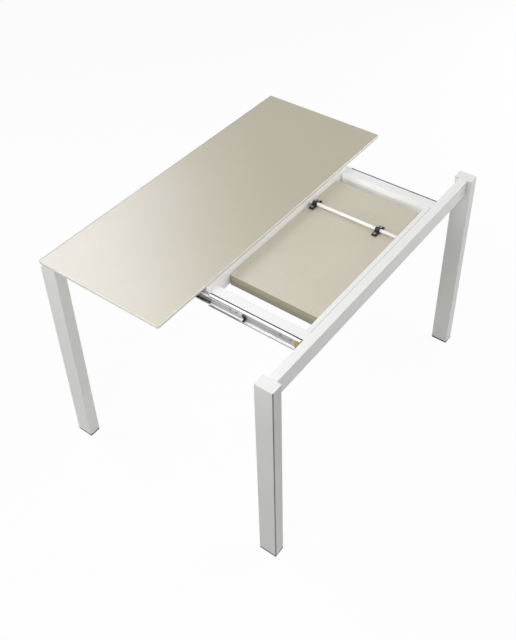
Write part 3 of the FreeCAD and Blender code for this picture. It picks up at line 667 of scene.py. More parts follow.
@dataclass(frozen=True)
class PlatedMetal:
    """Plated or polished metal with rolling lines, and, where it is given one, a painted highlight
    on upward faces and painted shade on its outer rim.
    """

    colour: Colour
    shade: Colour
    roughness: Span
    line_scale: float = 260.0
    line_strength: float = 0.08
    line_height: float = 0.05 * MM
    gloss_share: float = 0.6
    # Painted shade: near-black laid in crevices where ambient occlusion finds shade.
    crevice_shade: Colour = grey(0.06)
    crevice_shade_reach: float = 3.0 * MM
    crevice_shade_gain: float = 0.8
    # Painted highlight: a white, non-metal colour on upward faces, for the overhead light's
    # reflection.
    top_highlight: Colour | None = None
    top_highlight_tilt: Span = (0.45, 0.85)
    # Painted shade: a grey colour on the channel's outermost faces.
    rim: Colour = grey(0.20)
    rim_line: float = SLIDE_HIGH.y - 0.8 * MM
    rim_fade: float = 0.2 * MM

    def highlighted(self, wiring: Wiring, base: Socket) -> dict:
        """Adds a painted white highlight on faces that look up, for the overhead light's
        reflection, and painted shade on the outer rim.

        Args:
            wiring: The material's wiring.
            base: The metal's colour.

        Returns:
            The shader's colour and metal inputs.
        """
        upward = wiring.axes(Coordinate.NORMAL)[2]
        base = wiring.blend(wiring.ramp(upward, self.top_highlight_tilt), base, self.top_highlight)
        # Painted shade on the outermost faces.
        out = wiring.math("ABSOLUTE", wiring.axes(Coordinate.PLACE)[1])
        rim = wiring.step(out, self.rim_line, self.rim_fade, RISING)
        metal_beside_highlight = wiring.ramp(upward, self.top_highlight_tilt, FALLING)
        return {"Base Color": wiring.blend(rim, base, self.rim), "Metallic": metal_beside_highlight}

    def material(self, name: str) -> Material:
        """Makes the metal's material.

        Args:
            name: The material's name.

        Returns:
            The material.
        """
        material, wiring, shader = new_material(name)
        lines = wiring.effect(Effect.BRUSHED, Scale=self.line_scale, Low=0.0, High=1.0)
        base = wiring.blend(lines, self.shade, self.colour)
        # Painted shade in crevices, from ambient occlusion.
        crevice_shade = wiring.effect(Effect.CREVICE_SHADE, Distance=self.crevice_shade_reach, Gain=self.crevice_shade_gain)
        base = wiring.blend(crevice_shade, base, self.crevice_shade)
        low, high = self.roughness
        gloss_scale = self.line_scale * self.gloss_share
        rough = wiring.effect(Effect.BRUSHED, Scale=gloss_scale, Low=low, High=high)
        plain = {"Base Color": base, "Metallic": 1.0}
        wiring.feed(shader, self.highlighted(wiring, base) if self.top_highlight else plain)
        wiring.feed(shader, {"Roughness": rough})
        wiring.bump(shader, lines, self.line_strength, self.line_height)
        return material


@dataclass(frozen=True)
class MouldedPlastic:
    """Moulded plastic or rubber with a fine grain and pale worn edges."""

    colour: Colour
    shade: Colour
    worn: Colour
    roughness: Span = (0.42, 0.56)
    specular: float = 0.5
    cloud_scale: float = 60.0
    gloss_scale: float = 120.0
    wear_radius: float = 0.8 * MM
    wear_gain: float = 0.7
    grain: Grain = Grain(1100.0, 0.2, 0.1 * MM)

    def material(self, name: str) -> Material:
        """Makes the plastic's material.

        Args:
            name: The material's name.

        Returns:
            The material.
        """
        material, wiring, shader = new_material(name)
        base = wiring.blend(wiring.clouds(self.cloud_scale), self.shade, self.colour)
        wear = wiring.effect(Effect.EDGE, Radius=self.wear_radius, Gain=self.wear_gain)
        base = wiring.blend(wear, base, self.worn)
        rough = wiring.clouds(self.gloss_scale, self.roughness)
        inputs = {"Base Color": base, "Roughness": rough, "Specular IOR Level": self.specular}
        wiring.feed(shader, inputs)
        self.grain.put_on(wiring, shader)
        return material


# Painted light and shade: the legs' coats are lit and shaded copies of one white coat, each leg
# paler or darker by how the light falls on it.
LEG = PowderCoat(
    grey(0.74, 0.01),
    grey(0.715, 0.015),
    grey(0.80, 0.01),
    top_shade=grey(0.725, 0.01),
    # Painted shade at the foot: a dark band up to this height.
    foot=LEG_LOW.z + 1.9 * MM,
)
FINISHES: dict[str, Finish] = {
    "beige_glass": PaintedGlass(),
    "beige_board": LacqueredBoard(),
    "shaded_board": LacqueredBoard(side_shade=(0.240, 0.212, 0.150)),
    "white_powder_coat": PowderCoat(top_shade=grey(0.765, 0.01)),
    # Painted light and shade: the well's beams are paler than the white coat on their walls, for
    # the bright well, and darker on their tops.
    "lit_and_shaded_well_coat": PowderCoat(
        grey(0.92, 0.01), grey(0.90, 0.01), grey(0.92, 0.01), top_shade=grey(0.755, 0.005)
    ),
    "rod_coat": PowderCoat((0.83, 0.82, 0.79), (0.80, 0.79, 0.76), (0.85, 0.84, 0.82)),
    "leg_coat": LEG,
    "lit_leg_coat": replace(
        LEG, colour=grey(0.80, 0.01), shade=grey(0.78, 0.01), worn=grey(0.85, 0.01)
    ),
    "shaded_seamed_leg_coat": replace(
        LEG, colour=grey(0.66, 0.01), shade=grey(0.63, 0.01), seam=0.85
    ),
    "zinc_steel": PlatedMetal(grey(0.54), grey(0.41), (0.30, 0.46), top_highlight=grey(0.97, 0.01)),
    "shaded_steel": PlatedMetal(grey(0.15), grey(0.09), (0.30, 0.44)),
    "dull_steel": PlatedMetal(grey(0.32), grey(0.23), (0.34, 0.48)),
    "blackened_screw": PlatedMetal(
        grey(0.16, -0.005), grey(0.12, -0.005), (0.28, 0.40), line_scale=900.0
    ),
    "screw_steel": PlatedMetal(
        grey(0.40, -0.01), grey(0.32, -0.01), (0.26, 0.38), line_scale=900.0
    ),
    "ball_steel": PlatedMetal(
        grey(0.70, -0.01), grey(0.64, -0.01), (0.06, 0.12), line_scale=2000.0, crevice_shade_gain=0.3
    ),
    "hinge_metal": PlatedMetal(
        (0.60, 0.47, 0.22), (0.50, 0.38, 0.17), (0.26, 0.40), line_scale=700.0
    ),
    "black_plastic": MouldedPlastic(
        grey(0.014, -0.001), grey(0.009, -0.001), grey(0.05), specular=0.28
    ),
    "black_packing": MouldedPlastic(
        grey(0.03), grey(0.02), grey(0.06), (0.6, 0.8), specular=0.3
    ),
    "dark_cap": MouldedPlastic(
        grey(0.020, -0.001), grey(0.014, -0.001), grey(0.035), specular=0.3
    ),
    "yellow_buffer": MouldedPlastic(
        (0.36, 0.33, 0.085), (0.31, 0.28, 0.07), (0.46, 0.43, 0.16)
    ),
    "white_plug": MouldedPlastic(grey(0.74, 0.01), grey(0.69, 0.01), grey(0.80, 0.01)),
    "white_glide": MouldedPlastic(grey(0.93, 0.02), grey(0.90, 0.02), grey(0.94, 0.01)),
    "clear_pad": MouldedPlastic(
        grey(0.72, 0.02), grey(0.66, 0.02), grey(0.78, 0.01), (0.25, 0.4)
    ),
}


class Workshop:
    """Keeps the finished materials and makes pieces that ride on the table's bodies."""

    _materials: dict[str, Material] = {}

    @classmethod
    def material(cls, finish: str) -> Material:
        """Gives a finish's material, and makes it at the first call.

        Args:
            finish: The finish's name.

        Returns:
            The material.
        """
        if finish not in cls._materials:
            cls._materials[finish] = FINISHES[finish].material(finish)
        return cls._materials[finish]

    @classmethod
    def dress(cls, node: str, rounding: float = 0.0, finish: str = "") -> None:
        """Gives a solid its finish, and rounds its sharp edges.

        Args:
            node: The solid's name.
            rounding: The edges' rounding in metres, or 0 for none.
            finish: The finish, where it differs from the one of the solid's slot.
        """
        item = frame["nodes"][node]
        material = cls.material(finish or SLOT_OF[node])
        for slot in item.material_slots:
            slot.link = "OBJECT"
            slot.material = material
        if rounding:
            cls.round_edges(item, rounding)
        LOG.info("dressed %s in %s", node, material.name)

    @staticmethod
    def round_edges(item: Item, rounding: float) -> None:
        """Rounds the sharp edges of an object with modifiers.

        Args:
            item: The object.
            rounding: The rounding in metres.
        """
        weld = item.modifiers.new("weld", "WELD")
        weld.merge_threshold = WELD_DISTANCE
        edge = item.modifiers.new("edges", "BEVEL")
        edge.width = rounding
        edge.segments = BEVEL_STEPS
        edge.limit_method = "ANGLE"
        edge.angle_limit = BEVEL_ANGLE
        edge.use_clamp_overlap = True
        item.modifiers.new("shading", "WEIGHTED_NORMAL")

    @classmethod
    def piece(cls, name: str, mesh: Mesh, slot: str, body: str, finish: str = "") -> Item:
        """Makes an object of a mesh, in the table's frame.

        Args:
            name: The piece's name.
            mesh: Its mesh, which is freed.
            slot: Its material slot.
            body: The body that it moves with.
            finish: The finish, where it differs from the slot's.

        Returns:
            The object.
        """
        bmesh.ops.recalc_face_normals(mesh, faces=mesh.faces)
        data = bpy.data.meshes.new(name)
        mesh.to_mesh(data)
        mesh.free()
        data.materials.append(cls.material(finish or slot))
        data.set_sharp_from_angle(angle=SMOOTH_ANGLE)
        for polygon in data.polygons:
            polygon.use_smooth = True
        item = bpy.data.objects.new(name, data)
        bpy.context.scene.collection.objects.link(item)
        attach(item, body)
        LOG.info("made %s on %s", name, body)
        return item


def islands(node: str) -> list[Box]:
    """Finds the separate pieces of a solid.

    Args:
        node: The solid's name.

    Returns:
        The low and high corner of each piece, in order along X, then Y, then Z.
    """
    mesh = bmesh.new()
    mesh.from_mesh(frame["nodes"][node].data)
    bmesh.ops.remove_doubles(mesh, verts=mesh.verts, dist=WELD_DISTANCE)
    left = set(mesh.verts)
    boxes = []
    while left:
        ahead = [left.pop()]
        places = []
        while ahead:
            vert = ahead.pop()
            places.append(vert.co.copy())
            for edge in vert.link_edges:
                other = edge.other_vert(vert)
                if other in left:
                    left.remove(other)
                    ahead.append(other)
        low = Vector([min(place[axis] for place in places) for axis in range(3)])
        high = Vector([max(place[axis] for place in places) for axis in range(3)])
        boxes.append((low, high))
    mesh.free()
    return sorted(boxes, key=lambda box: tuple(round(value, ORDER_DIGITS) for value in box[0]))


def middle(node: str) -> Vector:
    """Gives the middle of a solid's box."""
    low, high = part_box(node)
    return (low + high) / 2


def around(ring: list) -> Iterable[tuple]:
    """Pairs each item of a ring with the one after it."""
    return zip(ring, ring[1:] + ring[:1])


def arc(radius: float, start: float, end: float, steps: int) -> list[Vector]:
    """Draws an arc round the origin of a plane.

    Args:
        radius: The arc's radius.
        start: The angle that it starts at.
        end: The angle that it ends at.
        steps: The number of pieces in it.

    Returns:
        The points along the arc.
    """
    turns = [start + (end - start) * step / steps for step in range(steps + 1)]
    return [Vector((radius * math.cos(turn), radius * math.sin(turn))) for turn in turns]


def lathe(mesh: Mesh, profile: Iterable[Point], matrix: Matrix, sides: int) -> list:
    """Turns a profile of radius and height about Z.

    Args:
        mesh: The mesh that takes the faces.
        profile: Radius and height of each ring. A radius of 0 closes the end.
        matrix: Where the turned piece goes.
        sides: The number of faces round it.

    Returns:
        The rings of vertices, in the profile's order.
    """
    rings = []
    for radius, height in profile:
        spots = arc(radius, 0.0, TURN, sides)[:-1] if radius > 0.0 else [Vector((0.0, 0.0))]
        places = [matrix @ Vector((spot.x, spot.y, height)) for spot in spots]
        rings.append([mesh.verts.new(place) for place in places])
    for ring, following in zip(rings, rings[1:]):
        for index in range(sides):
            beside = (index + 1) % sides
            corners = [ring[index % len(ring)], ring[beside % len(ring)]]
            corners += [following[beside % len(following)], following[index % len(following)]]
            mesh.faces.new(list(dict.fromkeys(corners)))
    return rings


def rounded(points: Iterable[Point], radii: Iterable[float], steps: int) -> list[Vector]:
    """Rounds the bends of a line in a plane.

    Args:
        points: The line's corners.
        radii: The rounding at each corner between the line's ends.
        steps: The number of pieces in each rounding.

    Returns:
        The rounded line.
    """
    places = [Vector(point) for point in points]
    line = [places[0]]
    for before, corner, after, radius in zip(places, places[1:], places[2:], radii):
        start = corner + (before - corner).normalized() * radius
        end = corner + (after - corner).normalized() * radius
        for step in range(steps + 1):
            share = step / steps
            line.append(start.lerp(corner, share).lerp(corner.lerp(end, share), share))
    line.append(places[-1])
    return line


def footprint(node: str, inset: float, corner: float, steps: int) -> list[Vector]:
    """Draws the outline of a solid's box from above, with round corners.

    Args:
        node: The solid's name.
        inset: How far the outline stays inside the box.
        corner: The rounding of its corners.
        steps: The number of pieces in each rounding.

    Returns:
        The closed outline.
    """
    low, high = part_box(node)
    left, front = low[0] + inset, low[1] + inset
    right, back = high[0] - inset, high[1] - inset
    start = (left, 0.5 * (front + back))
    points = (start, (left, front), (right, front), (right, back), (left, back), start)
    return rounded(points, (corner,) * 4, steps)[:-1]


def thicken(line: list[Vector], sheet: float) -> list[Vector]:
    """Gives a sheet's outline round its middle line.

    Args:
        line: The middle line in a plane.
        sheet: The sheet's thickness.

    Returns:
        The closed outline.
    """
    left = []
    right = []
    for index, place in enumerate(line):
        way = line[min(index + 1, len(line) - 1)] - line[max(index - 1, 0)]
        side = Vector((-way.y, way.x)).normalized() * (sheet / 2)
        left.append(place + side)
        right.append(place - side)
    return left + right[::-1]


def upright(height: float, point: Vector) -> Vector:
    """Puts a point of a level outline at a height."""
    return Vector((point.x, point.y, height))


def prism(mesh: Mesh, loops: Iterable[list[Vector]], ends: Span, place: Placer) -> None:
    """Sweeps an outline and the holes in it along a straight way.

    Args:
        mesh: The mesh that takes the faces.
        loops: The outline, then any holes, in a plane.
        ends: Where the sweep starts and ends.
        place: Turns a distance along the sweep and a point of the plane into a place.
    """
    caps: tuple[list, list] = ([], [])
    for loop in loops:
        rings = [[mesh.verts.new(place(end, point)) for point in loop] for end in ends]
        for near, far in zip(around(rings[0]), around(rings[1])):
            mesh.faces.new((*near, far[1], far[0]))
        for cap, ring in zip(caps, rings):
            cap += [mesh.edges.get(pair) for pair in around(ring)]
    for cap in caps:
        bmesh.ops.triangle_fill(mesh, use_beauty=True, edges=cap)


@dataclass(frozen=True)
class Screw:
    """A screw with a drive in its head and a ridged shank, which fills a plain one's box."""

    head_radius: float
    head_height: float
    shank_radius: float
    recess: Recess = Recess.CROSS
    thread_pitch: float = 1.0 * MM
    thread_depth: float = 0.3 * MM
    thread_start: float = 1.2 * MM
    thread_margin: float = 1.5 * MM
    least_threads: int = 2
    tip_share: float = 0.45
    wall_share: float = 0.65
    shoulder_share: Point = (0.95, 0.86)
    top_share: float = 0.80
    drive_reach: float = 0.62
    drive_half: float = 0.16
    drive_depth: float = 0.55
    drive_taper: float = 0.8
    sides: int = 36

    def drive_outline(self) -> list[Vector]:
        """Draws the drive's outline on the head, round the screw's axis.

        Returns:
            The outline's corners in order.
        """
        reach = self.head_radius * self.drive_reach
        if self.recess is Recess.HEXAGON:
            return [corner.to_3d() for corner in arc(reach, 0.0, TURN, self.recess.value)[:-1]]
        half = self.head_radius * self.drive_half
        corners = []
        for quarter in range(4):
            turn = Matrix.Rotation(TURN * quarter / 4, 3, "Z")
            for x, y in ((reach, -half), (reach, half), (half, half)):
                corners.append(turn @ Vector((x, y, 0.0)))
        return corners

    def profile(self, length: float) -> list[Point]:
        """Draws the screw from its tip to the rim of its head.

        Args:
            length: The shank's length.

        Returns:
            The radius and height of each ring.
        """
        shank, head, tall = self.shank_radius, self.head_radius, self.head_height
        rings = [(0.0, -length), (shank * self.tip_share, -length)]
        threads = int((length - self.thread_margin) / self.thread_pitch)
        for thread in range(max(self.least_threads, threads)):
            root = self.thread_start - length + thread * self.thread_pitch
            rings.append((shank - self.thread_depth, root))
            rings.append((shank, root + self.thread_pitch * 0.5))
        rings += [(shank, 0.0), (head, 0.0), (head, tall * self.wall_share)]
        wide, rise = self.shoulder_share
        rings += [(head * wide, tall * rise), (head * self.top_share, tall)]
        return rings

    def add_to(self, mesh: Mesh, seat: Vector, way: Vector, length: float) -> None:
        """Adds one screw to a mesh.

        Args:
            mesh: The mesh that takes it.
            seat: The middle of the head's underside.
            way: The way that the shank runs.
            length: The shank's length.
        """
        turn = Vector((0.0, 0.0, -1.0)).rotation_difference(way).to_matrix().to_4x4()
        matrix = Matrix.Translation(seat) @ turn
        top = lathe(mesh, self.profile(length), matrix, self.sides)[-1]
        drive = self.drive_outline()
        rise = Vector((0.0, 0.0, self.head_height))
        bed = rise * (1.0 - self.drive_depth)
        rim = [mesh.verts.new(matrix @ (corner + rise)) for corner in drive]
        low = [mesh.verts.new(matrix @ (corner * self.drive_taper + bed)) for corner in drive]
        pairs = [*around(top), *around(rim)]
        edges = [mesh.edges.get(pair) or mesh.edges.new(pair) for pair in pairs]
        bmesh.ops.triangle_fill(mesh, use_beauty=True, edges=edges)
        inside = [face for face in mesh.faces if all(vert in rim for vert in face.verts)]
        bmesh.ops.delete(mesh, geom=inside, context="FACES_ONLY")
        for above, below in zip(around(rim), around(low)):
            mesh.faces.new((*above, below[1], below[0]))
        mesh.faces.new(low)


@dataclass
class ScrewGroup:
    """A set of like screws that stands for one solid."""

    node: str
    body: str
    screw: Screw
    run: Run
    proud: float = 0.0
    finish: str = ""

    def way_at(self, spot: Vector) -> Vector:
        """Tells which way a screw's shank runs.

        Args:
            spot: The screw's middle.

        Returns:
            The shank's direction.
        """
        mirrored = self.run in (Run.INWARD, Run.OUTWARD) and spot.y < 0
        return Vector(self.run.value) * (-1.0 if mirrored else 1.0)

    def build(self) -> None:
        """Makes the screws and puts them in the solid's place."""
        mesh = bmesh.new()
        for low, high in islands(self.node):
            spot = (low + high) / 2.0
            way = self.way_at(spot)
            span = abs((high - low).dot(way))
            seat = spot - way * (span / 2.0 - self.screw.head_height + self.proud)
            self.screw.add_to(mesh, seat, way, span - self.screw.head_height)
        name = f"{self.node}_cut"
        piece = Workshop.piece(name, mesh, SLOT_OF[self.node], self.body, self.finish)
        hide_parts(self.node)


@dataclass
class GlassTop:
    """The glass, its pads and the plates under its left corners."""

    glass: str = "tabletop_glass"
    pads: str = "glass_pads"
    body: str = "fixed_frame"
    pad_rounding: float = 1.0 * MM
    spacer_inset: float = 1.5 * MM
    spacer_corner: float = 3.0 * MM
    spacer_steps: int = 5
    spacer_rounding: float = 0.5 * MM

    def build(self) -> None:
        """Dresses the glass and its pads, and makes the spacers on the left legs."""
        Workshop.dress(self.glass)
        Workshop.dress(self.pads, self.pad_rounding)
        for side in ("front", "back"):
            self.build_spacer(f"left_{side}_leg")

    def build_spacer(self, leg: str) -> None:
        """Makes the white plate between a leg's top and the glass.

        Args:
            leg: The leg's name.
        """
        outline = footprint(leg, self.spacer_inset, self.spacer_corner, self.spacer_steps)
        heights = (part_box(leg)[1][2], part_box(self.glass)[0][2])
        mesh = bmesh.new()
        prism(mesh, [outline], heights, upright)
        name = f"{leg}_spacer"
        # Painted light: the spacer takes the paler white_glide finish, so that it reads bright in
        # the glass's shadow.
        piece = Workshop.piece(name, mesh, "white_plug", self.body, "white_glide")
        Workshop.round_edges(piece, self.spacer_rounding)


@dataclass
class Portal:
    """Two legs and the beam between them, with caps and levelling feet."""

    end: str
    body: str
    leg_finishes: dict[str, str]
    tube_rounding: float = 0.8 * MM
    cap_rounding: float = 0.6 * MM
    glide_radius: float = 13.0 * MM
    glide_height: float = 3.0 * MM
    glide_sides: int = 48
    foot_share: float = 0.95
    foot_rise: float = 0.5 * MM
    shoulder_share: float = 0.96
    shoulder_drop: float = 0.6 * MM
    felt_height: float = 0.8 * MM
    felt_shares: Span = (0.86, 0.88)
    stem_radius: float = 4.0 * MM
    stem_height: float = 40.0 * MM
    stem_tip_share: float = 0.8
    thread_pitch: float = 1.25 * MM
    thread_depth: float = 0.5 * MM
    plain_pitches: int = 2
    skirt_inset: float = 0.4 * MM
    skirt_wall: float = 2.0 * MM
    skirt_lift: float = 0.5 * MM
    skirt_lap: float = 0.2 * MM
    skirt_corner: float = 1.4 * MM
    skirt_steps: int = 4

    def build(self) -> None:
        """Dresses the portal and makes its feet."""
        Workshop.dress(f"{self.end}_end_beam", self.tube_rounding)
        for side, finish in self.leg_finishes.items():
            name = f"{self.end}_{side}"
            Workshop.dress(f"{name}_leg", self.tube_rounding, finish)
            Workshop.dress(f"{name}_leg_cap", self.cap_rounding)
            self.build_shadow_skirt(name)
            self.build_glide(name)

    def build_shadow_skirt(self, name: str) -> None:
        """Makes the thin dark skirt under one leg's cap, a dark wall of painted shade for the gap
        under the leg.

        Args:
            name: The leg's end and side.
        """
        cap = f"{name}_leg_cap"
        insets = (self.skirt_inset, self.skirt_inset + self.skirt_wall)
        loops = [footprint(cap, inset, self.skirt_corner, self.skirt_steps) for inset in insets]
        heights = (self.skirt_lift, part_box(cap)[0][2] + self.skirt_lap)
        mesh = bmesh.new()
        prism(mesh, loops, heights, upright)
        Workshop.piece(f"{name}_cap_shadow_skirt", mesh, "dark_cap", self.body)

    def glide_profile(self) -> list[Point]:
        """Draws a foot from its felt up to its stem's end.

        Returns:
            The radius and height of each ring.
        """
        wide, tall, felt = self.glide_radius, self.glide_height, self.felt_height
        profile = [(0.0, 0.0)]
        profile += [(wide * share, level) for share, level in zip(self.felt_shares, (0.0, felt))]
        profile += [(wide * self.foot_share, felt), (wide, felt + self.foot_rise)]
        profile += [(wide, tall - self.shoulder_drop), (wide * self.shoulder_share, tall)]
        profile.append((self.stem_radius, tall))
        pitch = self.thread_pitch
        for step in range(int((self.stem_height - tall - self.plain_pitches * pitch) / pitch)):
            crest = tall + (step + 1) * pitch
            profile.append((self.stem_radius, crest))
            profile.append((self.stem_radius - self.thread_depth, crest + pitch / 2))
        profile.append((self.stem_radius * self.stem_tip_share, self.stem_height))
        profile.append((0.0, self.stem_height))
        return profile

    def build_glide(self, name: str) -> None:
        """Makes one levelling foot.

        Args:
            name: The leg's end and side.
        """
        node = f"{name}_glide"
        spot = middle(node)
        spot.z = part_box(node)[0][2]
        mesh = bmesh.new()
        lathe(mesh, self.glide_profile(), Matrix.Translation(spot), self.glide_sides)
        piece = Workshop.piece(f"{name}_threaded_glide", mesh, SLOT_OF[node], f"{name}_foot")
        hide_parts(node)


@dataclass
class Well:
    """The beams round the leaf, the rod across them and the leaf's rests."""

    body: str = "extension_frame"
    inner_beam: str = "inner_long_beam"
    outer_beam: str = "right_well_beam"
    side_beams: tuple[str, str] = ("front_side_beam", "back_side_beam")
    tube_rounding: float = 0.8 * MM
    fine_rounding: float = 0.4 * MM
    collar_outer: float = 7.6 * MM
    collar_inner: float = 5.1 * MM
    collar_depth: float = 1.2 * MM
    collar_wall_share: float = 0.6
    collar_chamfer: float = 0.5 * MM
    collar_sides: int = 40
    bead_width: float = 0.9 * MM
    bead_height: float = 0.5 * MM
    bead_root: float = 1.0 * MM
    bead_bends: tuple[float, ...] = (0.1 * MM, 0.2 * MM, 0.3 * MM)
    bead_steps: int = 3
    strip_width: float = 12.0 * MM
    strip_inset: float = 1.2 * MM
    strip_end: float = 3.0 * MM
    strip_bends: Span = (2.0 * MM, 1.2 * MM)
    strip_steps: int = 5
    glass_clearance: float = 0.5 * MM

    def build(self) -> None:
        """Dresses the well and makes the rod's collars, the joint's dark bead of painted shade and
        the glide strip.
        """
        for node in (self.outer_beam, self.inner_beam, *self.side_beams):
            Workshop.dress(node, self.tube_rounding, "lit_and_shaded_well_coat")
        Workshop.dress("pivot_rod", self.fine_rounding, "rod_coat")
        for node in ("leaf_rest_brackets", "inner_beam_plugs"):
            Workshop.dress(node, self.fine_rounding)
        self.build_collars()
        self.build_shadow_bead()
        self.build_strip()

    def build_collars(self) -> None:
        """Makes the two thin collars where the rod enters the beams."""
        spot = middle("pivot_rod")
        walls = ((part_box(self.inner_beam)[1][0], 1.0), (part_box(self.outer_beam)[0][0], -1.0))
        inner, outer, depth = self.collar_inner, self.collar_outer, self.collar_depth
        profile = [
            (inner, 0.0),
            (outer, 0.0),
            (outer, depth * self.collar_wall_share),
            (outer - self.collar_chamfer, depth),
            (inner, depth),
            (inner, 0.0),
        ]
        mesh = bmesh.new()
        for x, way in walls:
            turn = Matrix.Rotation(way * TURN / 4, 4, "Y")
            matrix = Matrix.Translation((x, spot.y, spot.z)) @ turn
            lathe(mesh, profile, matrix, self.collar_sides)
        bmesh.ops.remove_doubles(mesh, verts=mesh.verts, dist=WELD_DISTANCE)
        Workshop.piece("rod_collars", mesh, "white_plug", self.body)

    def build_shadow_bead(self) -> None:
        """Makes the thin dark bead along the joint of the well beam and the end beam, painted shade
        for the step between them.
        """
        low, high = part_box(self.outer_beam)
        wide, root = self.bead_width, self.bead_root
        tip = (-wide / 2, self.bead_height)
        points = ((0.0, -root), (-wide, -root), (-wide, 0.0), tip, (0.0, 0.0))
        outline = rounded(points, self.bead_bends, self.bead_steps)

        def place(y: float, point: Vector) -> Vector:
            """Puts a point of the bead's section at Y."""
            return Vector((high[0] + point.x, y, high[2] + point.y))

        mesh = bmesh.new()
        prism(mesh, [outline], (low[1], high[1]), place)
        Workshop.piece("joint_shadow_bead", mesh, "black_packing", self.body)

    def build_strip(self) -> None:
        """Makes the white strip on the inner beam, which the glass's free edge glides over."""
        low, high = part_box(self.inner_beam)
        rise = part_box("tabletop_glass")[0][2] - high[2] - self.glass_clearance
        right = high[0] - self.strip_inset
        left = right - self.strip_width
        points = ((left, 0.0), (left, rise), (right, rise), (right, 0.0))
        outline = rounded(points, self.strip_bends, self.strip_steps)
        ends = (low[1] + self.strip_end, high[1] - self.strip_end)

        def place(y: float, point: Vector) -> Vector:
            """Puts a point of the strip's section at Y."""
            return Vector((point.x, y, high[2] + point.y))

        mesh = bmesh.new()
        prism(mesh, [outline], ends, place)
        # Partly painted light: the pale strip fills the shaded gap under the glass's free edge and
        # takes the paler white_glide finish.
        piece = Workshop.piece("glass_glide_strip", mesh, "white_plug", self.body, "white_glide")
        Workshop.round_edges(piece, self.fine_rounding)


class Section:
    """The section of a slide's solid, from its face on the beam outwards and its underside up."""

    def __init__(self, node: str, side: str) -> None:
        """Measures a solid.

        Args:
            node: The solid's name.
            side: The slide's side, front or back.
        """
        low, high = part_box(node)
        self.sign = -1.0 if side == "front" else 1.0
        self.face = high[1] if side == "front" else low[1]
        self.base = low[2]
        self.depth = high[1] - low[1]
        self.height = high[2] - low[2]
        self.ends = (low[0], high[0])

    def across(self, x: float, point: Vector) -> Vector:
        """Puts a point of depth and rise at X."""
        return Vector((x, self.face + self.sign * point.x, self.base + point.y))

    def along(self, depth: float, point: Vector) -> Vector:
        """Puts a point of X and rise at a depth."""
        return self.across(point.x, Vector((depth, point.y)))


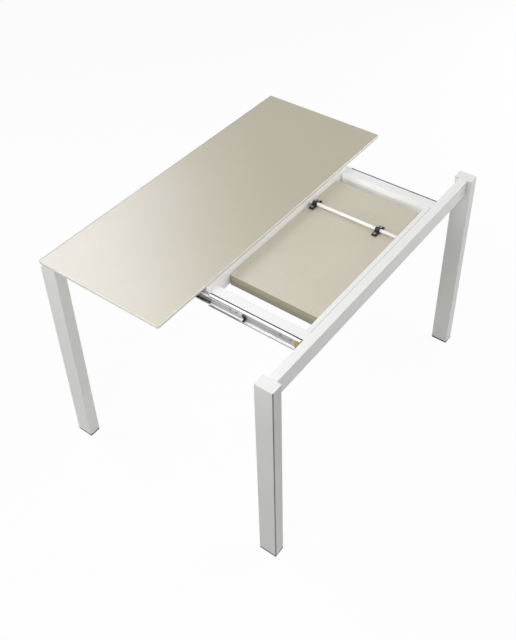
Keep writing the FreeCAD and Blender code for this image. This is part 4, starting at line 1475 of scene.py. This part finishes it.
@dataclass
class Slide:
    """One telescopic slide with its cages, balls, stop, buffer and a black packing of painted
    shade.
    """

    side: str
    body: str = "extension_frame"
    sheet: float = 1.2 * MM
    top_lip: float = 3.6 * MM
    top_depth: float = 8.6 * MM
    low_lip: float = 3.2 * MM
    bends: tuple[float, ...] = (2.8 * MM, 1.5 * MM, 1.5 * MM, 0.9 * MM)
    bend_steps: int = 6
    bead_rise: float = 0.9 * MM
    bead_reach: float = 0.0
    bead_lap: float = 0.3 * MM
    bead_bend: float = 0.5 * MM
    cap_bend: float = 0.2 * MM
    packing_steps: int = 4
    stop_post: float = 4.2 * MM
    stop_bridge: float = 2.4 * MM
    stop_depth: float = 2.6 * MM
    stop_foot: float = 5.4 * MM
    stop_rise: float = 3.0 * MM
    stop_drop: float = 1.4 * MM
    stop_inset: float = 0.15 * MM
    stop_step_share: float = 0.42
    rivet_places: tuple[float, ...] = (130.0 * MM, 149.0 * MM)
    rivet_radius: float = 2.5 * MM
    rivet_height: float = 0.3 * MM
    rivet_edge: Point = (0.7, 0.4)
    rivet_rise_share: float = 0.52
    rivet_sides: int = 24
    nose: float = 10.0 * MM
    nose_steps: int = 8
    nose_rounding: float = 1.6 * MM
    sheet_rounding: float = 0.35 * MM
    cage_rounding: float = 0.2 * MM
    stop_rounding: float = 0.25 * MM
    rail_rounding: float = 0.8 * MM

    def build(self) -> None:
        """Makes the slide's shaped pieces and dresses the rest."""
        self.build_channel()
        self.build_shadow_packing()
        self.build_stop()
        self.build_bumper()
        self.build_rivets()
        Workshop.dress(f"{self.side}_slide_intermediate", self.sheet_rounding)
        Workshop.dress(f"{self.side}_slide_fixed_member", self.sheet_rounding, "shaded_steel")
        for stage in ("outer", "inner"):
            Workshop.dress(f"{self.side}_{stage}_ball_cage", self.cage_rounding, "dull_steel")
            Workshop.dress(f"{self.side}_{stage}_balls")
        Workshop.dress(f"{self.side}_fixed_rail", self.rail_rounding)

    def put(self, form: str, mesh: Mesh, node: str, body: str = "") -> Item:
        """Puts a shaped piece in a solid's place.

        Args:
            form: The piece's name without the slide's side.
            mesh: Its mesh.
            node: The solid that it replaces.
            body: The body that it moves with, where it isn't the slide's own.

        Returns:
            The object.
        """
        name = f"{self.side}_{form}"
        piece = Workshop.piece(name, mesh, SLOT_OF[node], body or self.body)
        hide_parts(node)
        return piece

    def build_channel(self) -> None:
        """Makes the wide channel with rolled bends."""
        node = f"{self.side}_slide_moving_member"
        section = Section(node, self.side)
        near = self.sheet / 2
        far = section.depth - near
        top = section.height - near
        brow = self.top_depth - near
        points = (
            (brow, section.height - self.top_lip),
            (brow, top),
            (near, top),
            (near, near),
            (far, near),
            (far, self.low_lip),
        )
        outline = thicken(rounded(points, self.bends, self.bend_steps), self.sheet)
        mesh = bmesh.new()
        prism(mesh, [outline], section.ends, section.across)
        self.put("rolled_channel", mesh, node)

    def build_shadow_packing(self) -> None:
        """Makes the black packing strip with its raised bead, which can cap the channel's top; the
        strip is painted shade for the gap between beam and slide.
        """
        node = f"{self.side}_slide_packing"
        section = Section(node, self.side)
        top = section.height + self.bead_rise
        reach = section.depth + self.bead_reach
        lap = section.height - self.bead_lap
        cap: tuple = ((reach, lap), (section.depth, lap)) if self.bead_reach else ()
        points = ((0.0, 0.0), (0.0, top), (reach, top), *cap, (section.depth, 0.0))
        bends = (self.bead_bend,) * 2 + (self.cap_bend,) * len(cap)
        mesh = bmesh.new()
        prism(mesh, [rounded(points, bends, self.packing_steps)], section.ends, section.across)
        self.put("shadow_gap_packing", mesh, node)

    def build_stop(self) -> None:
        """Makes the stepped stop at the middle channel's end."""
        node = f"{self.side}_slide_stop"
        section = Section(node, self.side)
        start, end = section.ends
        neck = start + self.stop_post
        heel = end - self.stop_post
        step = section.height * self.stop_step_share
        top = section.height + self.stop_rise
        base = -self.stop_drop
        toe = base + self.stop_foot
        upper = ((start, top), (start, step), (heel, step - self.stop_bridge), (heel, base))
        lower = ((end, base), (end, step), (neck, step + self.stop_bridge), (neck, top))
        outline = [Vector(point) for point in upper + lower]
        inset = self.stop_inset
        left, right, low = heel + inset, end - inset, base + inset
        foot = [Vector(point) for point in ((left, low), (right, low), (right, toe), (left, toe))]
        mesh = bmesh.new()
        prism(mesh, [outline], (0.0, self.stop_depth), section.along)
        prism(mesh, [foot], (self.stop_depth / 2, section.depth), section.along)
        piece = self.put("stepped_stop", mesh, node, f"{self.side}_slide_carrier")
        Workshop.round_edges(piece, self.stop_rounding)

    def build_bumper(self) -> None:
        """Makes the round-nosed buffer at the channel's end."""
        node = f"{self.side}_slide_bumper"
        section = Section(node, self.side)
        start, end = section.ends
        top = section.height
        points = ((end, 0.0), (start, 0.0), (start, top), (end, top))
        outline = rounded(points, (self.nose,) * 2, self.nose_steps)
        mesh = bmesh.new()
        prism(mesh, [outline], (0.0, section.depth), section.along)
        Workshop.round_edges(self.put("round_bumper", mesh, node), self.nose_rounding)

    def build_rivets(self) -> None:
        """Makes the dark flush rivets in the middle channel's web."""
        section = Section(f"{self.side}_slide_intermediate", self.side)
        wide, tall = self.rivet_radius, self.rivet_height
        inner, edge = self.rivet_edge
        head = [(wide, tall * edge), (wide * inner, tall), (0.0, tall)]
        profile = [(0.0, -tall), (wide, -tall), *head]
        rise = section.height * self.rivet_rise_share
        mesh = bmesh.new()
        for x in self.rivet_places:
            foot = section.across(x, Vector((self.sheet, rise)))
            ahead = section.across(x, Vector((section.depth, rise))) - foot
            turn = ahead.to_track_quat("Z", "Y").to_matrix().to_4x4()
            lathe(mesh, profile, Matrix.Translation(foot) @ turn, self.rivet_sides)
        name = f"{self.side}_web_rivets"
        body = f"{self.side}_slide_carrier"
        Workshop.piece(name, mesh, "screw_steel", body, "blackened_screw")


@dataclass
class RodClip:
    """One moulded saddle clip that holds the leaf to the rod."""

    node: str
    body: str = "leaf"
    base_height: float = 4.6 * MM
    nose_height: float = 2.6 * MM
    nose_depth: float = 2.0 * MM
    fillet: float = 3.0 * MM
    hump_start: float = math.radians(196.0)
    hump_steps: int = 24
    bore: float = 5.1 * MM
    bore_steps: int = 32
    boss_outer: float = 6.6 * MM
    boss_inner: float = 4.3 * MM
    boss_height: float = 1.0 * MM
    boss_wall_share: float = 0.8
    boss_chamfer: float = 0.5 * MM
    boss_slope: float = 0.8 * MM
    boss_root: float = 0.2 * MM
    boss_sides: int = 32
    screw_reach: float = 18.0 * MM
    rounding: float = 0.8 * MM

    def outline(self, half: float, rise: float, hump: float) -> list[Vector]:
        """Draws the clip's side round the rod's axis.

        Args:
            half: Half of the clip's length.
            rise: The axis's height over the leaf.
            hump: The saddle's outer radius.

        Returns:
            The closed outline.
        """
        base = self.base_height - rise
        nose = [(-half, -rise), (-half, self.nose_height - rise), (self.nose_depth - half, base)]
        left = [*nose, (-hump - self.fillet, base)]
        right = [(-x, z) for x, z in reversed(left)]
        saddle = arc(hump, self.hump_start, math.pi - self.hump_start, self.hump_steps)
        return [*map(Vector, left), *saddle, *map(Vector, right)]

    def boss_profile(self) -> list[Point]:
        """Draws the raised ring round a screw's head.

        Returns:
            The radius and height of each ring.
        """
        inner, outer, tall = self.boss_inner, self.boss_outer, self.boss_height
        return [
            (inner, 0.0),
            (inner, tall * self.boss_wall_share),
            (inner + self.boss_chamfer, tall),
            (outer - self.boss_slope, tall),
            (outer, -self.boss_root),
            (inner, 0.0),
        ]

    def build(self) -> None:
        """Makes the clip and puts it in the solid's place."""
        low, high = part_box(self.node)
        rod = middle("pivot_rod")
        outline = self.outline((high[1] - low[1]) / 2, rod.z - low[2], high[2] - rod.z)
        hole = arc(self.bore, 0.0, TURN, self.bore_steps)[:-1]

        def place(x: float, point: Vector) -> Vector:
            """Puts a point of the clip's side at X."""
            return Vector((x, rod.y + point.x, rod.z + point.y))

        mesh = bmesh.new()
        prism(mesh, [outline, hole], (low[0], high[0]), place)
        spot = middle(self.node)
        spot.z = low[2] + self.base_height
        for reach in (-self.screw_reach, self.screw_reach):
            spot.y = rod.y + reach
            lathe(mesh, self.boss_profile(), Matrix.Translation(spot), self.boss_sides)
        bmesh.ops.remove_doubles(mesh, verts=mesh.verts, dist=WELD_DISTANCE)
        piece = Workshop.piece(f"moulded_{self.node}", mesh, SLOT_OF[self.node], self.body)
        Workshop.round_edges(piece, self.rounding)
        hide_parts(self.node)


@dataclass
class Leaf:
    """The folded leaf with its hinges and rod clips."""

    board_rounding: float = 0.9 * MM
    hinge_rounding: float = 0.4 * MM
    clips: tuple[RodClip, ...] = (RodClip("left_rod_clip"), RodClip("right_rod_clip"))

    def build(self) -> None:
        """Dresses the leaf's boards and hinges, and makes its clips."""
        Workshop.dress("leaf_upper_panel", self.board_rounding)
        Workshop.dress("leaf_lower_panel", self.board_rounding, "shaded_board")
        for clip in self.clips:
            clip.build()
        for node in ("leaf_hinge_barrels", "leaf_hinge_links"):
            Workshop.dress(node, self.hinge_rounding)


@dataclass(frozen=True)
class Lamp:
    """One soft square lamp, or a round one with a snoot where a cone is given in degrees."""

    name: str
    place: Place
    width: float
    power: float
    target: Place = (0.0, 0.0, 0.5)
    tint: Colour = grey(1.0)
    diffuse: bool = True
    cone: float = 0.0
    cone_softness: float = 0.4

    def build(self) -> None:
        """Adds the lamp."""
        data = bpy.data.lights.new(self.name, "SPOT" if self.cone else "AREA")
        if self.cone:
            data.shadow_soft_size = self.width / 2
            data.spot_size = math.radians(self.cone)
            data.spot_blend = self.cone_softness
        else:
            data.shape = "RECTANGLE"
            data.size = data.size_y = self.width
        data.energy = self.power
        data.color = self.tint
        item = bpy.data.objects.new(self.name, data)
        bpy.context.scene.collection.objects.link(item)
        item.location = self.place
        way = Vector(self.target) - Vector(self.place)
        item.rotation_euler = way.to_track_quat("-Z", "Y").to_euler()
        item.visible_camera = False
        item.visible_diffuse = self.diffuse


@dataclass
class Studio:
    """The floor, the lamps, the white surround and the camera."""

    lamps: tuple[Lamp, ...] = (
        Lamp("overhead", (0.0, 0.0, 3.6), 2.4, 4.4),
        Lamp("left_key", (-2.447, -0.891, 2.685), 2.0, 59.0),
        Lamp("front_fill", (0.452, -2.565, 2.685), 2.0, 31.0),
        Lamp("high_front", (0.798, -1.382, 3.502), 2.0, 10.0),
        Lamp("near_front", (0.2, -1.2, 1.35), 0.8, 3.4, (0.2, 0.3, 0.7)),
        Lamp("well_light", (0.45, -2.0, 1.12), 0.2, 60.0, (0.185, 0.335, 0.717), cone=8.6),
        Lamp("right_back", (1.995, 1.674, 2.685), 2.0, 53.0),
        Lamp("back_low", (0.578, 3.275, 1.207), 2.0, 40.0),
        Lamp(
            "left_sheen",
            (-3.7, 1.05, 4.05),
            3.2,
            242.0,
            (-0.5, -0.6, 0.7),
            tint=(0.84, 0.88, 1.0),
            diffuse=False,
        ),
    )
    ambient: float = 0.02
    white: tuple[float, ...] = (1.0, 1.0, 1.0, 1.0)
    floor_half: float = 9.0
    floor_cells: int = 8
    floor_drop: float = 0.3 * MM
    floor_white: float = 0.94
    floor_colour: Colour = grey(0.88)
    camera_place: Place = (1.24987, -1.66274, 2.37034)
    camera_right: Place = (0.80970396, 0.58677351, -0.00873737)
    camera_down: Place = (0.37145146, -0.52398848, -0.76645932)
    camera_ahead: Place = (-0.45431631, 0.61735964, -0.64223342)
    lens: float = 49.887
    sensor: float = 36.0
    shift: Span = (-0.031875, -0.12)
    sight: float = 100.0

    def build(self) -> None:
        """Builds the studio."""
        for lamp in self.lamps:
            lamp.build()
        self.build_surround()
        self.build_floor()
        self.build_camera()
        bpy.context.scene.view_settings.view_transform = "Standard"
        LOG.info("set up %d lamps, the surround, the floor and the camera", len(self.lamps))

    @staticmethod
    def shown_rays(wiring: Wiring) -> Socket:
        """Tells the rays that show the background from those that only light.

        Args:
            wiring: The material's or world's wiring.

        Returns:
            1 for camera, mirror and glass rays, and 0 for the rest.
        """
        path = wiring.add("ShaderNodeLightPath").outputs
        shown = wiring.math("MAXIMUM", path["Is Camera Ray"], path["Is Glossy Ray"])
        return wiring.math("MAXIMUM", shown, path["Is Transmission Ray"])

    def build_surround(self) -> None:
        """Makes a white surround that lights softly."""
        world = bpy.data.worlds.new("surround")
        bpy.context.scene.world = world
        world.use_nodes = True
        wiring = Wiring(world.node_tree)
        strength = wiring.ramp(self.shown_rays(wiring), RISING, (self.ambient, 1.0))
        light = wiring.add("ShaderNodeBackground", {"Color": self.white, "Strength": strength})
        wiring.add("ShaderNodeOutputWorld", {"Surface": light.outputs[0]})

    def build_floor(self) -> None:
        """Makes the pale floor, which keeps a faint shadow."""
        mesh = bmesh.new()
        cells = self.floor_cells
        bmesh.ops.create_grid(mesh, x_segments=cells, y_segments=cells, size=self.floor_half)
        data = bpy.data.meshes.new("floor")
        mesh.to_mesh(data)
        mesh.free()
        item = bpy.data.objects.new("floor", data)
        bpy.context.scene.collection.objects.link(item)
        item.location.z = -self.floor_drop
        data.materials.append(self.floor_material())

    def floor_material(self) -> Material:
        """Makes the floor's material, matt to the lamps and nearly white to the eye.

        Returns:
            The material.
        """
        material = bpy.data.materials.new("floor")
        material.use_nodes = True
        wiring = Wiring(material.node_tree)
        matt = wiring.add("ShaderNodeBsdfDiffuse", {"Color": (*self.floor_colour, 1.0)})
        glow = wiring.add("ShaderNodeEmission", {"Color": self.white, "Strength": 1.0})
        share = wiring.math("MULTIPLY", self.shown_rays(wiring), self.floor_white)
        inputs = {0: share, 1: matt.outputs[0], 2: glow.outputs[0]}
        mixed = wiring.add("ShaderNodeMixShader", inputs)
        wiring.add("ShaderNodeOutputMaterial", {"Surface": mixed.outputs[0]})
        return material

    def build_camera(self) -> None:
        """Puts the camera where the photograph was taken from."""
        data = bpy.data.cameras.new("camera")
        data.lens = self.lens
        data.sensor_fit = "AUTO"
        data.sensor_width = self.sensor
        data.shift_x, data.shift_y = self.shift
        data.clip_end = self.sight
        item = bpy.data.objects.new("camera", data)
        bpy.context.scene.collection.objects.link(item)
        right = Vector(self.camera_right)
        up = -Vector(self.camera_down)
        back = -Vector(self.camera_ahead)
        turn = Matrix((right, up, back)).transposed().to_4x4()
        item.matrix_world = Matrix.Translation(self.camera_place) @ turn
        bpy.context.scene.camera = item


PAN_SCREW = Screw(3.8 * MM, 2.0 * MM, 1.9 * MM)
FLAT_SCREW = Screw(3.4 * MM, 1.1 * MM, 1.9 * MM)
SOCKET_BOLT = Screw(5.0 * MM, 4.0 * MM, 3.0 * MM, Recess.HEXAGON)


@dataclass
class Table:
    """The whole table in its order of assembly."""

    top: GlassTop = field(default_factory=GlassTop)
    portals: tuple[Portal, ...] = (
        # Painted light and shade: each leg takes the copy of its coat that matches the light on it.
        Portal("left", "fixed_frame", {"front": "lit_leg_coat", "back": "lit_leg_coat"}),
        Portal("right", "extension_frame", {"front": "shaded_seamed_leg_coat", "back": "leg_coat"}),
    )
    well: Well = field(default_factory=Well)
    plug_rounding: float = 0.4 * MM
    # Painted shade: the back packing's bead reaches over the channel, to widen the dark line at the
    # back.
    slides: tuple[Slide, ...] = (Slide("front"), Slide("back", bead_reach=2.2 * MM))
    leaf: Leaf = field(default_factory=Leaf)
    screws: tuple[ScrewGroup, ...] = (
        ScrewGroup("clip_screws", "leaf", PAN_SCREW, Run.DOWN, proud=3.0 * MM),
        ScrewGroup("bracket_screws", "extension_frame", PAN_SCREW, Run.UP),
        ScrewGroup(
            "slide_screws",
            "extension_frame",
            FLAT_SCREW,
            Run.INWARD,
            proud=0.35 * MM,
            finish="blackened_screw",
        ),
        ScrewGroup("fixed_member_screws", "fixed_frame", PAN_SCREW, Run.OUTWARD),
        ScrewGroup("well_beam_bolts", "extension_frame", SOCKET_BOLT, Run.RIGHT),
    )

    def build(self) -> None:
        """Builds every sub-assembly."""
        self.top.build()
        for portal in self.portals:
            portal.build()
        self.well.build()
        Workshop.dress("rail_plugs", self.plug_rounding)
        for slide in self.slides:
            slide.build()
        self.leaf.build()
        for group in self.screws:
            group.build()


def main() -> None:
    """Builds the studio and the table."""
    logging.basicConfig(level=logging.INFO, format="%(name)s: %(message)s")
    Studio().build()
    Table().build()


if __name__ == "__main__":
    main()
